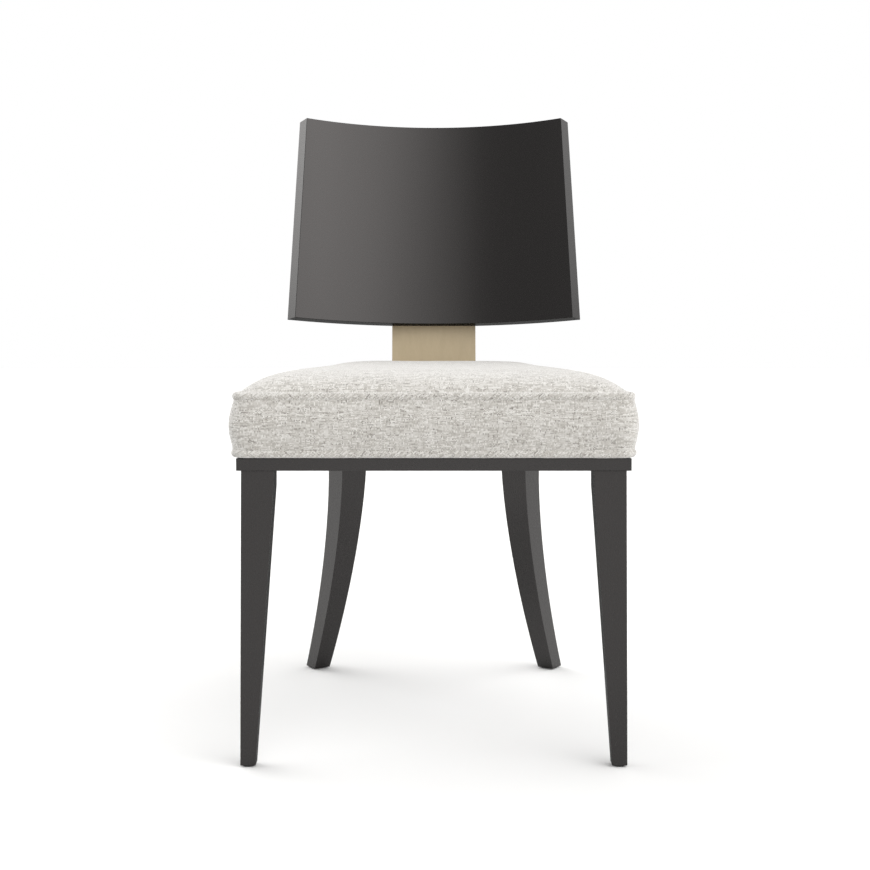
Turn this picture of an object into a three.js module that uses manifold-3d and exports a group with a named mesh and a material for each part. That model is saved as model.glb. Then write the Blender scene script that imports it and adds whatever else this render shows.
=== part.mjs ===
// Klismos dining chair: a curved leaning back panel on one splat, an upholstered seat on a thin
// mitred base frame, square tapered front legs and swept rear legs.
// Lengths are millimetres. Z is up and the sitter faces -Y, so left is +X and right is -X.
// While it is built, the front edge of the base frame lies on Y = 0 and the floor on Z = 0.

import * as THREE from 'three';
import { mergeVertices } from 'three/addons/utils/BufferGeometryUtils.js';
import Module from 'manifold-3d';

const wasm = await Module();
wasm.setup();

// Seat plan: a trapezoid that narrows towards the back
const SEAT_FRONT_WIDTH = 503;
const SEAT_BACK_WIDTH = 338;
const SEAT_DEPTH = 516;

// Gaps between pieces that meet, and the overrun of every cut past the face it starts from
const JOINT_GAP = 0.3;
const SOFT_GAP = 0.4;
const FOAM_GAP = 1.2;
const OVERRUN = 5;

// Legs
const LEG_LENGTH = 382;
const LEG_POST_SIDE = 24;
const LEG_POST_HEIGHT = 50;
const FRONT_LEG_SIDE = 41.5;
const FRONT_FOOT_SIDE = 19.7;
const FRONT_LEG_STRAIGHT = 23;
const FRONT_LEG_INSET = 5.6;
const FRONT_LEG_SPLAY = 3.5;
const REAR_LEG_SIDE = 44;
const REAR_FOOT_SIDE = 28.2;
const REAR_LEG_STRAIGHT = 42;
const REAR_LEG_SWEEP = 93.3;
const REAR_LEG_TURN = THREE.MathUtils.degToRad(33.4);
const REAR_LEG_SIDE_INSET = 5;
const REAR_LEG_BACK_INSET = 3.8;
const REAR_SWEEP_POWER = 1.64;
const REAR_LEG_STEPS = 14;

// Tack glides under the feet
const GLIDE_THICKNESS = 2;
const GLIDE_RADIUS = 8;
const GLIDE_EDGE = 0.6;
const GLIDE_PIN_RADIUS = 1.4;
const GLIDE_PIN_LENGTH = 14;

// Base frame: the dark mitred frame between legs and upholstery
const BASE_RAIL_THICKNESS = 16;
const BASE_RAIL_WIDTH = 56;

// Seat frame: the hidden beech frame that stands on the base frame
const SEAT_RAIL_THICKNESS = 20;
const SEAT_RAIL_HEIGHT = 60;
const SEAT_RAIL_INSET = 11;
const CORNER_BLOCK_HEIGHT = 40;
const CORNER_BLOCK_REACH = 46;
const CORNER_BLOCK_HALF_WIDTH = 80;

// Hanger bolts through the corner blocks into the leg posts
const HANGER_RADIUS = 3;
const HANGER_DEPTH = 8;
const HANGER_TAIL = 4;
const HANGER_HEIGHT = 22;
const WASHER_RADIUS = 8;
const WASHER_THICKNESS = 1.6;
const NUT_RADIUS = 5.8;
const NUT_THICKNESS = 5;
const NUT_SIDES = 6;

// Webbing on the seat frame
const WEB_WIDTH = 48;
const WEB_THICKNESS = 1.6;
const WEB_END_MARGIN = 2;
const WEB_FOLD_LENGTH = 17;
const WEB_LENGTH_SPACING = 64;
const WEB_LENGTH_COUNT = 4;
const WEB_CROSS_SHARES = [0.24, 0.48, 0.72];

// Upholstery: overhangs are measured outwards from the edge of the base frame
const FABRIC_THICKNESS = 2;
const CUSHION_CORNER_RADIUS = 13;
const PINCH_OVERHANG = 7.6;
const SEAM_OVERHANG = 5.3;
const BOXING_BULGE = 6.7;
const BOXING_HEIGHT = 67;
const CROWN_EDGE_RISE = 33;
const CROWN_EDGE_RUN = 25;
const CROWN_DOME = 1;
const CROWN_PROBE = 0.5;
const WELT_RADIUS = 5.8;
const WELT_OVERHANG = 9.8;
const TOP_WELT_OVERHANG = 7.8;
const WELT_SIDES = 8;
const BOXING_ROW_SHARES = [0, 0.12, 0.28, 0.45, 0.62, 0.8, 1];
const CROWN_ROW_SHARES = [0.02, 0.05, 0.1, 0.19, 0.33, 0.52, 0.76];
const CROWN_CENTRE_SHARE = 0.5;
const ARC_STEPS = 4;
const SIDE_STEPS = 5;

// Dust cover under the base frame
const DUST_COVER_THICKNESS = 1;
const DUST_COVER_INSET = 26;
const DUST_COVER_LEG_GAP = 1;

// Back: one board and one curved panel, both leaning by the rake
const RAKE = THREE.MathUtils.degToRad(9.73);
const SPLAT_WIDTH = 134.4;
const SPLAT_THICKNESS = 20;
const SPLAT_BACK_INSET = 3;
const SPLAT_REACH = 200;
const HOUSING_DEPTH = 6;
const PANEL_LIFT = 168.1;
const PANEL_HEIGHT = 323.1;
const PANEL_THICKNESS = 27.2;
const PANEL_RADIUS = 411;
const PANEL_BOTTOM_CHORD = 433;
const PANEL_TOP_CHORD = 404;
const PANEL_STEPS = 28;

// Fasteners of the back
const SPLAT_BOLT_RADIUS = 3;
const SPLAT_BOLT_HEAD_RADIUS = 6;
const SPLAT_BOLT_HEAD_HEIGHT = 4;
const SPLAT_BOLT_DEPTH = 14;
const SPLAT_BOLT_HALF_SPACING = 38;
const SPLAT_BOLT_HEIGHTS = [18, 44];
const DOWEL_RADIUS = 5;
const DOWEL_DEPTH = 12;
const DOWEL_HALF_SPACING = 40;
const DOWEL_HEIGHTS = [50, 150];
const ROUND_SIDES = 12;

// Finishes: colour, roughness, metalness
const CHARCOAL = [0x474443, 0.42, 0];
const CHAMPAGNE = [0xab9d83, 0.45, 0.35];
const BEECH = [0xc9a77c, 0.7, 0];
const WEAVE = [0xcfcbc3, 0.95, 0];
const FOAM = [0xe8e0c8, 0.95, 0];
const WEBBING = [0x9a8f7c, 0.95, 0];
const DUST_CLOTH = [0x1d1d1f, 0.95, 0];
const NYLON = [0x2a2a2a, 0.55, 0];
const STEEL = [0xb8bbbf, 0.35, 0.9];

// Heights and plan lines that several pieces share
const baseBottom = GLIDE_THICKNESS + LEG_LENGTH;
const baseTop = baseBottom + BASE_RAIL_THICKNESS;
const seatRailTop = baseTop + SEAT_RAIL_HEIGHT;
const postTop = baseTop + LEG_POST_HEIGHT;
const weltBottom = baseTop + JOINT_GAP;
const boxingBottom = weltBottom + WELT_RADIUS * 2 + JOINT_GAP;
const seamHeight = boxingBottom + BOXING_HEIGHT;
const foamBottom = seatRailTop + WEB_THICKNESS * 2 + JOINT_GAP * 2;
const sideSlope = (SEAT_FRONT_WIDTH - SEAT_BACK_WIDTH) / 2 / SEAT_DEPTH;
const sideAngle = Math.atan(sideSlope);

function halfWidthAt(y) {
  return SEAT_FRONT_WIDTH / 2 - sideSlope * y;
}

// Corners of the seat plan moved inwards by an inset, anticlockwise from above, from -X front
function seatCorners(inset, frontInset = inset, backInset = inset) {
  const front = frontInset;
  const back = SEAT_DEPTH - backInset;
  const across = inset / Math.cos(sideAngle);
  const frontHalf = halfWidthAt(front) - across;
  const backHalf = halfWidthAt(back) - across;
  return [
    new THREE.Vector2(-frontHalf, front),
    new THREE.Vector2(frontHalf, front),
    new THREE.Vector2(backHalf, back),
    new THREE.Vector2(-backHalf, back),
  ];
}

// Lines of the leaning back: the splat's front face crosses the top of the base frame here
const splatFrontAtBase = SEAT_DEPTH - SPLAT_BACK_INSET - SPLAT_THICKNESS / Math.cos(RAKE);
const backRailFront = splatFrontAtBase - SEAT_RAIL_THICKNESS;

function splatFrontAt(z) {
  return splatFrontAtBase + (z - baseTop) * Math.tan(RAKE);
}

// Booleans between closed geometries
function toSolid(geometry) {
  const bare = geometry.clone();
  bare.deleteAttribute('normal');
  bare.deleteAttribute('uv');
  const merged = mergeVertices(bare);
  return new wasm.Manifold(new wasm.Mesh({
    numProp: 3,
    vertProperties: Float32Array.from(merged.attributes.position.array),
    triVerts: Uint32Array.from(merged.index.array),
  }));
}

function toGeometry(solid) {
  const mesh = solid.getMesh();
  const geometry = new THREE.BufferGeometry();
  geometry.setAttribute('position', new THREE.BufferAttribute(mesh.vertProperties, 3));
  geometry.setIndex(new THREE.BufferAttribute(mesh.triVerts, 1));
  return geometry;
}

function cut(geometry, cutters) {
  const start = toSolid(geometry);
  return toGeometry(cutters.reduce((solid, cutter) => solid.subtract(toSolid(cutter)), start));
}

function common(geometry, limits) {
  const start = toSolid(geometry);
  return toGeometry(limits.reduce((solid, limit) => solid.intersect(toSolid(limit)), start));
}

// Upright prism over a plan outline
function prism(points, bottom, top) {
  const shape = new THREE.Shape(points);
  const geometry = new THREE.ExtrudeGeometry(shape, { depth: top - bottom, bevelEnabled: false });
  return geometry.translate(0, 0, bottom);
}

// Prism along X, centred, over an outline given as depth (Y) and height (Z)
function prismAlongX(points, width) {
  const shape = new THREE.Shape(points.map(([y, z]) => new THREE.Vector2(y, z)));
  const geometry = new THREE.ExtrudeGeometry(shape, { depth: width, bevelEnabled: false });
  const toDepthAndHeight = new THREE.Matrix4().makeBasis(
    new THREE.Vector3(0, 1, 0),
    new THREE.Vector3(0, 0, 1),
    new THREE.Vector3(1, 0, 0),
  );
  return geometry.translate(0, 0, -width / 2).applyMatrix4(toDepthAndHeight);
}

// Closed skin through rings of equal length, anticlockwise from above and listed upwards
function loft(rings, startCentre, endCentre) {
  const count = rings[0].length;
  const positions = [];
  const index = [];
  rings.flat().forEach((point) => positions.push(point.x, point.y, point.z));
  for (let row = 0; row + 1 < rings.length; row += 1) {
    for (let i = 0; i < count; i += 1) {
      const next = (i + 1) % count;
      const a = row * count + i;
      const b = row * count + next;
      const c = (row + 1) * count + next;
      const d = (row + 1) * count + i;
      index.push(a, b, c, a, c, d);
    }
  }
  const startIndex = rings.length * count;
  const endIndex = startIndex + 1;
  const lastRow = (rings.length - 1) * count;
  positions.push(startCentre.x, startCentre.y, startCentre.z);
  positions.push(endCentre.x, endCentre.y, endCentre.z);
  for (let i = 0; i < count; i += 1) {
    const next = (i + 1) % count;
    index.push(startIndex, next, i);
    index.push(endIndex, lastRow + i, lastRow + next);
  }
  const geometry = new THREE.BufferGeometry();
  geometry.setAttribute('position', new THREE.Float32BufferAttribute(positions, 3));
  geometry.setIndex(index);
  return geometry;
}

function centreOf(ring) {
  const sum = ring.reduce((total, point) => total.add(point), new THREE.Vector3());
  return sum.divideScalar(ring.length);
}

function closedLoft(rings) {
  return loft(rings, centreOf(rings[0]), centreOf(rings[rings.length - 1]));
}

// The same piece on the other side of the chair, with its faces still pointing outwards
function mirrored(geometry) {
  const copy = geometry.clone().scale(-1, 1, 1);
  const order = copy.index.array;
  for (let i = 0; i < order.length; i += 3) {
    [order[i + 1], order[i + 2]] = [order[i + 2], order[i + 1]];
  }
  return copy;
}

// Rod along +X from one distance to another
function rodAlongX(radius, from, to, sides = ROUND_SIDES) {
  const geometry = new THREE.CylinderGeometry(radius, radius, to - from, sides);
  return geometry.rotateZ(-Math.PI / 2).translate((from + to) / 2, 0, 0);
}

function ringAlongX(outerRadius, innerRadius, from, to, sides) {
  return cut(rodAlongX(outerRadius, from, to, sides), [
    rodAlongX(innerRadius, from - OVERRUN, to + OVERRUN),
  ]);
}

function add(parent, name, geometry, [color, roughness, metalness]) {
  const material = new THREE.MeshStandardMaterial({
    color,
    roughness,
    metalness,
    flatShading: true,
  });
  const mesh = new THREE.Mesh(geometry, material);
  mesh.name = name;
  parent.add(mesh);
  return mesh;
}

// Legs. A square section is set by its front corner, its two side directions and its side length
function squareRing(corner, along, across, side, z) {
  const point = (a, b) => new THREE.Vector3(
    corner.x + (along.x * a + across.x * b) * side,
    corner.y + (along.y * a + across.y * b) * side,
    z,
  );
  return [point(0, 0), point(1, 0), point(1, 1), point(0, 1)];
}

function frontLegSection(z) {
  const drop = baseBottom - z;
  const taperShare = Math.max(0, drop - FRONT_LEG_STRAIGHT) / (LEG_LENGTH - FRONT_LEG_STRAIGHT);
  const side = THREE.MathUtils.lerp(FRONT_LEG_SIDE, FRONT_FOOT_SIDE, taperShare);
  const outer = SEAT_FRONT_WIDTH / 2 - FRONT_LEG_INSET + FRONT_LEG_SPLAY * drop / LEG_LENGTH;
  const corner = new THREE.Vector2(outer - side, FRONT_LEG_INSET);
  return { corner, side, along: new THREE.Vector2(1, 0), across: new THREE.Vector2(0, 1) };
}

// The swept leg moves outwards and backwards along one direction, and tapers as it goes
const sweepAlong = new THREE.Vector2(Math.sin(REAR_LEG_TURN), Math.cos(REAR_LEG_TURN));
const sweepAcross = new THREE.Vector2(-Math.cos(REAR_LEG_TURN), Math.sin(REAR_LEG_TURN));

function rearLegTopCorner() {
  const halfAcrossX = REAR_LEG_SIDE * (sweepAlong.x - sweepAcross.x) / 2;
  const halfAcrossY = REAR_LEG_SIDE * (sweepAlong.y + sweepAcross.y) / 2;
  const centreY = SEAT_DEPTH - REAR_LEG_BACK_INSET - halfAcrossY;
  const outerCornerY = centreY + REAR_LEG_SIDE * (sweepAlong.y - sweepAcross.y) / 2;
  const centreX = halfWidthAt(outerCornerY) - REAR_LEG_SIDE_INSET - halfAcrossX;
  return new THREE.Vector2(
    centreX - REAR_LEG_SIDE * (sweepAlong.x + sweepAcross.x) / 2,
    centreY - halfAcrossY,
  );
}

function rearLegSection(z) {
  const sweepDrop = LEG_LENGTH - REAR_LEG_STRAIGHT;
  const dropShare = Math.max(0, baseBottom - z - REAR_LEG_STRAIGHT) / sweepDrop;
  const side = THREE.MathUtils.lerp(REAR_LEG_SIDE, REAR_FOOT_SIDE, dropShare);
  const sweep = REAR_LEG_SWEEP * dropShare ** REAR_SWEEP_POWER;
  const corner = rearLegTopCorner().addScaledVector(sweepAlong, sweep);
  return { corner, side, along: sweepAlong, across: sweepAcross };
}

function sectionCentre({ corner, side, along, across }) {
  return corner.clone().addScaledVector(along, side / 2).addScaledVector(across, side / 2);
}

// The post is the square stub that rises from the leg's top into the corner of the seat frame
function postRing(section, growth, z) {
  const side = LEG_POST_SIDE + growth * 2;
  const corner = sectionCentre(section)
    .addScaledVector(section.along, -side / 2)
    .addScaledVector(section.across, -side / 2);
  return squareRing(corner, section.along, section.across, side, z);
}

function postCutter(section) {
  return closedLoft([
    postRing(section, JOINT_GAP, baseBottom - OVERRUN),
    postRing(section, JOINT_GAP, postTop + JOINT_GAP),
  ]);
}

function legBody(sectionAt, heights) {
  const rings = heights.map((z) => {
    const { corner, side, along, across } = sectionAt(z);
    return squareRing(corner, along, across, side, z);
  });
  const top = sectionAt(baseBottom);
  rings.push(postRing(top, 0, baseBottom), postRing(top, 0, postTop));
  return closedLoft(rings);
}

const frontLegTop = frontLegSection(baseBottom);
const rearLegTop = rearLegSection(baseBottom);
const frontPostCentre = sectionCentre(frontLegTop);
const rearPostCentre = sectionCentre(rearLegTop);
const frontLegHeights = [GLIDE_THICKNESS, baseBottom - FRONT_LEG_STRAIGHT, baseBottom];
const rearLegHeights = Array.from({ length: REAR_LEG_STEPS + 1 }, (unused, i) => (
  GLIDE_THICKNESS + (LEG_LENGTH - REAR_LEG_STRAIGHT) * i / REAR_LEG_STEPS
));
rearLegHeights.push(baseBottom);

// A fastening line starts at the post's centre and points into the seat
function fastening(centre, direction) {
  const line = new THREE.Object3D();
  line.position.set(centre.x, centre.y, baseTop + HANGER_HEIGHT);
  line.rotation.z = direction;
  line.updateMatrix();
  return line;
}

const frontFastening = fastening(frontPostCentre, Math.PI * 3 / 4);
const rearFastening = fastening(rearPostCentre, -Math.PI / 2 - REAR_LEG_TURN);

function hangerBore(line) {
  const end = CORNER_BLOCK_REACH + OVERRUN;
  const rod = rodAlongX(HANGER_RADIUS + JOINT_GAP, -HANGER_DEPTH - JOINT_GAP, end);
  return rod.applyMatrix4(line.matrix);
}

function glideBore(section) {
  const centre = sectionCentre(section);
  const radius = GLIDE_PIN_RADIUS + JOINT_GAP;
  const depth = GLIDE_PIN_LENGTH + JOINT_GAP + OVERRUN;
  const bore = new THREE.CylinderGeometry(radius, radius, depth, ROUND_SIDES);
  return bore
    .rotateX(Math.PI / 2)
    .translate(centre.x, centre.y, GLIDE_THICKNESS - OVERRUN + depth / 2);
}

const frontFoot = frontLegSection(GLIDE_THICKNESS);
const rearFoot = rearLegSection(GLIDE_THICKNESS);
const frontLeg = cut(legBody(frontLegSection, frontLegHeights), [
  glideBore(frontFoot),
  hangerBore(frontFastening),
]);
const rearLeg = cut(legBody(rearLegSection, rearLegHeights), [
  glideBore(rearFoot),
  hangerBore(rearFastening),
]);

const chair = new THREE.Group();
const legs = new THREE.Group();
chair.add(legs);
add(legs, 'front_leg_left', frontLeg, CHARCOAL);
add(legs, 'front_leg_right', mirrored(frontLeg), CHARCOAL);
add(legs, 'rear_leg_left', rearLeg, CHARCOAL);
add(legs, 'rear_leg_right', mirrored(rearLeg), CHARCOAL);

// Glides: a low disc with a pin up into the foot
function glideGeometry() {
  const profile = [
    new THREE.Vector2(0, 0),
    new THREE.Vector2(GLIDE_RADIUS - GLIDE_EDGE, 0),
    new THREE.Vector2(GLIDE_RADIUS, GLIDE_EDGE),
    new THREE.Vector2(GLIDE_RADIUS, GLIDE_THICKNESS),
    new THREE.Vector2(GLIDE_PIN_RADIUS, GLIDE_THICKNESS),
    new THREE.Vector2(GLIDE_PIN_RADIUS, GLIDE_THICKNESS + GLIDE_PIN_LENGTH),
    new THREE.Vector2(0, GLIDE_THICKNESS + GLIDE_PIN_LENGTH),
  ];
  return new THREE.LatheGeometry(profile, ROUND_SIDES).rotateX(Math.PI / 2);
}

const glidePlaces = {
  glide_front_left: [sectionCentre(frontFoot), 1],
  glide_front_right: [sectionCentre(frontFoot), -1],
  glide_rear_left: [sectionCentre(rearFoot), 1],
  glide_rear_right: [sectionCentre(rearFoot), -1],
};
Object.entries(glidePlaces).forEach(([name, [centre, side]]) => {
  const glide = add(legs, name, glideGeometry(), NYLON);
  glide.position.set(centre.x * side, centre.y, 0);
});

// Base frame: four mitred rails, pierced at the corners by the leg posts
const frontPostCutter = postCutter(frontLegTop);
const rearPostCutter = postCutter(rearLegTop);
const postCutters = [
  frontPostCutter,
  mirrored(frontPostCutter),
  rearPostCutter,
  mirrored(rearPostCutter),
];

// Strip between an outer and an inner corner pair, with half a gap taken off each mitred end
function mitredStrip(outer, inner, i) {
  const j = (i + 1) % outer.length;
  const along = outer[j].clone().sub(outer[i]).normalize();
  const trimmed = (corner, innerCorner, direction) => {
    const mitre = innerCorner.clone().sub(corner).normalize();
    const step = direction * JOINT_GAP / 2 / Math.abs(along.cross(mitre));
    return [
      corner.clone().addScaledVector(along, step),
      innerCorner.clone().addScaledVector(along, step),
    ];
  };
  const [startOuter, startInner] = trimmed(outer[i], inner[i], 1);
  const [endOuter, endInner] = trimmed(outer[j], inner[j], -1);
  return [startOuter, endOuter, endInner, startInner];
}

const sideNames = ['front', 'left', 'back', 'right'];
const baseFrame = new THREE.Group();
chair.add(baseFrame);
sideNames.forEach((name, i) => {
  const plan = mitredStrip(seatCorners(0), seatCorners(BASE_RAIL_WIDTH), i);
  const rail = cut(prism(plan, baseBottom, baseTop), postCutters);
  add(baseFrame, `base_rail_${name}`, rail, CHARCOAL);
});

// Seat frame: beech rails between the posts. The back rail leans to meet the splat
const seatFrame = new THREE.Group();
chair.add(seatFrame);
const hangerBores = [hangerBore(frontFastening), hangerBore(rearFastening)];
const allHangerBores = [...hangerBores, ...hangerBores.map(mirrored)];
const railBack = SEAT_RAIL_INSET + SEAT_RAIL_THICKNESS;
const postHalf = LEG_POST_SIDE / 2;

function seatRailFront() {
  const half = frontPostCentre.x - postHalf - JOINT_GAP;
  const plan = [
    new THREE.Vector2(-half, SEAT_RAIL_INSET),
    new THREE.Vector2(half, SEAT_RAIL_INSET),
    new THREE.Vector2(half, railBack),
    new THREE.Vector2(-half, railBack),
  ];
  return cut(prism(plan, baseTop, seatRailTop), allHangerBores);
}

function seatRailSide() {
  const start = frontPostCentre.y + postHalf + JOINT_GAP;
  const end = rearPostCentre.y;
  const outerAt = (y) => halfWidthAt(y) - SEAT_RAIL_INSET / Math.cos(sideAngle);
  const innerAt = (y) => halfWidthAt(y) - railBack / Math.cos(sideAngle);
  const plan = [
    new THREE.Vector2(innerAt(start), start),
    new THREE.Vector2(outerAt(start), start),
    new THREE.Vector2(outerAt(end), end),
    new THREE.Vector2(innerAt(end), end),
  ];
  const behindBackRail = prismAlongX([
    [backRailFront - JOINT_GAP, baseTop - OVERRUN],
    [SEAT_DEPTH, baseTop - OVERRUN],
    [SEAT_DEPTH, seatRailTop + OVERRUN],
    [backRailFront - JOINT_GAP, seatRailTop + OVERRUN],
  ], rearPostCentre.x * 2);
  const rail = prism(plan, baseTop, seatRailTop);
  return cut(rail, [behindBackRail, rearPostCutter, ...hangerBores]);
}

function splatBoltBore(side, height) {
  const from = backRailFront - OVERRUN;
  const to = splatFrontAt(baseTop + height) + SPLAT_BOLT_DEPTH + JOINT_GAP;
  return rodAlongX(SPLAT_BOLT_RADIUS + JOINT_GAP, from, to)
    .rotateZ(Math.PI / 2)
    .translate(side * SPLAT_BOLT_HALF_SPACING, 0, baseTop + height);
}

const splatBoltBores = SPLAT_BOLT_HEIGHTS.flatMap((height) => [
  splatBoltBore(1, height),
  splatBoltBore(-1, height),
]);

function seatRailBack() {
  const gap = JOINT_GAP / Math.cos(RAKE);
  const profile = [
    [backRailFront, baseTop],
    [splatFrontAt(baseTop) - gap, baseTop],
    [splatFrontAt(seatRailTop) - gap, seatRailTop],
    [backRailFront, seatRailTop],
  ];
  const width = (rearPostCentre.x - JOINT_GAP) * 2;
  return cut(prismAlongX(profile, width), [...postCutters, ...splatBoltBores, ...allHangerBores]);
}

const sideRail = seatRailSide();
add(seatFrame, 'seat_rail_front', seatRailFront(), BEECH);
add(seatFrame, 'seat_rail_left', sideRail, BEECH);
add(seatFrame, 'seat_rail_right', mirrored(sideRail), BEECH);
add(seatFrame, 'seat_rail_back', seatRailBack(), BEECH);

// Corner blocks fill the corners of the seat frame, square to their hanger bolts
function cornerBlock(line, bore) {
  const top = baseTop + CORNER_BLOCK_HEIGHT;
  const slab = prism([
    new THREE.Vector2(-LEG_POST_SIDE, -CORNER_BLOCK_HALF_WIDTH),
    new THREE.Vector2(CORNER_BLOCK_REACH, -CORNER_BLOCK_HALF_WIDTH),
    new THREE.Vector2(CORNER_BLOCK_REACH, CORNER_BLOCK_HALF_WIDTH),
    new THREE.Vector2(-LEG_POST_SIDE, CORNER_BLOCK_HALF_WIDTH),
  ], -HANGER_HEIGHT, top - baseTop - HANGER_HEIGHT).applyMatrix4(line.matrix);
  const backInset = SEAT_DEPTH - backRailFront + JOINT_GAP;
  const inside = seatCorners(railBack + JOINT_GAP, railBack + JOINT_GAP, backInset);
  const corner = common(slab, [prism(inside, baseTop, top)]);
  return cut(corner, [...postCutters, bore]);
}

const fastenings = { front: frontFastening, rear: rearFastening };
const washerStart = CORNER_BLOCK_REACH + JOINT_GAP;
const nutStart = washerStart + WASHER_THICKNESS + JOINT_GAP;
const boltEnd = nutStart + NUT_THICKNESS + HANGER_TAIL;
Object.entries(fastenings).forEach(([place, line], i) => {
  const block = cornerBlock(line, hangerBores[i]);
  add(seatFrame, `corner_block_${place}_left`, block, BEECH);
  add(seatFrame, `corner_block_${place}_right`, mirrored(block), BEECH);
  [['left', 1], ['right', -1]].forEach(([sideName, side]) => {
    const fastener = new THREE.Group();
    fastener.position.set(line.position.x * side, line.position.y, line.position.z);
    fastener.rotation.z = side > 0 ? line.rotation.z : Math.PI - line.rotation.z;
    seatFrame.add(fastener);
    const hole = HANGER_RADIUS + JOINT_GAP;
    const rod = rodAlongX(HANGER_RADIUS, -HANGER_DEPTH, boltEnd);
    const washerEnd = washerStart + WASHER_THICKNESS;
    const washer = ringAlongX(WASHER_RADIUS, hole, washerStart, washerEnd, ROUND_SIDES);
    const nut = ringAlongX(NUT_RADIUS, hole, nutStart, nutStart + NUT_THICKNESS, NUT_SIDES);
    add(fastener, `hanger_bolt_${place}_${sideName}`, rod, STEEL);
    add(fastener, `bolt_washer_${place}_${sideName}`, washer, STEEL);
    add(fastener, `bolt_nut_${place}_${sideName}`, nut, STEEL);
  });
});

// Webbing: lengthwise straps on the front and back rails, cross straps over them with folded ends
const webbing = new THREE.Group();
chair.add(webbing);
const webFront = SEAT_RAIL_INSET + WEB_END_MARGIN;
const webBack = splatFrontAt(seatRailTop) - WEB_END_MARGIN;
for (let i = 0; i < WEB_LENGTH_COUNT; i += 1) {
  const band = new THREE.BoxGeometry(WEB_WIDTH, webBack - webFront, WEB_THICKNESS);
  const strap = add(webbing, `webbing_length_${i + 1}`, band, WEBBING);
  const x = (i - (WEB_LENGTH_COUNT - 1) / 2) * WEB_LENGTH_SPACING;
  strap.position.set(x, (webFront + webBack) / 2, seatRailTop + WEB_THICKNESS / 2);
}

function crossStrap(half) {
  const lift = WEB_THICKNESS + JOINT_GAP;
  const top = lift + WEB_THICKNESS;
  const fold = half - WEB_FOLD_LENGTH;
  const outline = new THREE.Shape([
    new THREE.Vector2(-half, 0),
    new THREE.Vector2(-fold, 0),
    new THREE.Vector2(-fold, lift),
    new THREE.Vector2(fold, lift),
    new THREE.Vector2(fold, 0),
    new THREE.Vector2(half, 0),
    new THREE.Vector2(half, top),
    new THREE.Vector2(-half, top),
  ]);
  const band = new THREE.ExtrudeGeometry(outline, { depth: WEB_WIDTH, bevelEnabled: false });
  return band.translate(0, 0, -WEB_WIDTH / 2).rotateX(Math.PI / 2);
}

WEB_CROSS_SHARES.forEach((share, i) => {
  const y = SEAT_DEPTH * share;
  const endInset = (SEAT_RAIL_INSET + WEB_END_MARGIN) / Math.cos(sideAngle);
  const half = halfWidthAt(y + WEB_WIDTH / 2) - endInset;
  const strap = add(webbing, `webbing_cross_${i + 1}`, crossStrap(half), WEBBING);
  strap.position.set(0, y, seatRailTop);
});

// Upholstery. The plan outline runs anticlockwise from the back, as points with outward normals
function cushionOutline(overhang, steps) {
  const [frontRight, frontLeft, backLeft, backRight] = seatCorners(CUSHION_CORNER_RADIUS);
  const arcs = [
    [backRight, Math.PI / 2, Math.PI - sideAngle],
    [frontRight, Math.PI - sideAngle, Math.PI * 3 / 2],
    [frontLeft, Math.PI * 3 / 2, Math.PI * 2 + sideAngle],
    [backLeft, Math.PI * 2 + sideAngle, Math.PI * 5 / 2],
  ];
  const radius = CUSHION_CORNER_RADIUS + overhang;
  const points = [];
  arcs.forEach(([centre, start, end], corner) => {
    for (let i = 0; i <= ARC_STEPS; i += 1) {
      const angle = THREE.MathUtils.lerp(start, end, i / ARC_STEPS);
      const normal = new THREE.Vector2(Math.cos(angle), Math.sin(angle));
      points.push({ at: centre.clone().addScaledVector(normal, radius), normal });
    }
    const [nextCentre] = arcs[(corner + 1) % arcs.length];
    const from = points[points.length - 1];
    const to = nextCentre.clone().addScaledVector(from.normal, radius);
    for (let i = 1; i < steps; i += 1) {
      points.push({ at: from.at.clone().lerp(to, i / steps), normal: from.normal });
    }
  });
  return points;
}

// Side walls: drawn in at the bottom, full in the middle, drawn in again at the top seam
function boxingOverhang(z) {
  const share = (z - boxingBottom) / BOXING_HEIGHT;
  const line = THREE.MathUtils.lerp(PINCH_OVERHANG, SEAM_OVERHANG, share);
  return line + BOXING_BULGE * Math.sin(Math.PI * share);
}

// Crown: a full rise from every edge, then a slight dome
function crownHeight(x, y) {
  const halfWidth = halfWidthAt(y) + SEAM_OVERHANG / Math.cos(sideAngle);
  const fromSide = Math.max(0, (halfWidth - Math.abs(x)) * Math.cos(sideAngle));
  const fromFront = Math.max(0, y + SEAM_OVERHANG);
  const fromBack = Math.max(0, SEAT_DEPTH + SEAM_OVERHANG - y);
  const rise = (distance) => 1 - Math.exp(-distance / CROWN_EDGE_RUN);
  const middle = SEAT_DEPTH / 2;
  const acrossShare = 1 - (x / halfWidth) ** 2;
  const alongShare = 1 - ((y - middle) / (middle + SEAM_OVERHANG)) ** 2;
  const edges = rise(fromSide) * rise(fromFront) * rise(fromBack);
  const dome = Math.max(0, acrossShare) * Math.max(0, alongShare);
  return seamHeight + CROWN_EDGE_RISE * edges + CROWN_DOME * dome;
}

// Height of the surface that lies a depth inside the crown, measured square to its slope
function crownInside(x, y, depth) {
  const height = crownHeight(x, y);
  const acrossSlope = (crownHeight(x + CROWN_PROBE, y) - height) / CROWN_PROBE;
  const alongSlope = (crownHeight(x, y + CROWN_PROBE) - height) / CROWN_PROBE;
  return height - depth * Math.hypot(1, acrossSlope, alongSlope);
}

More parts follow.
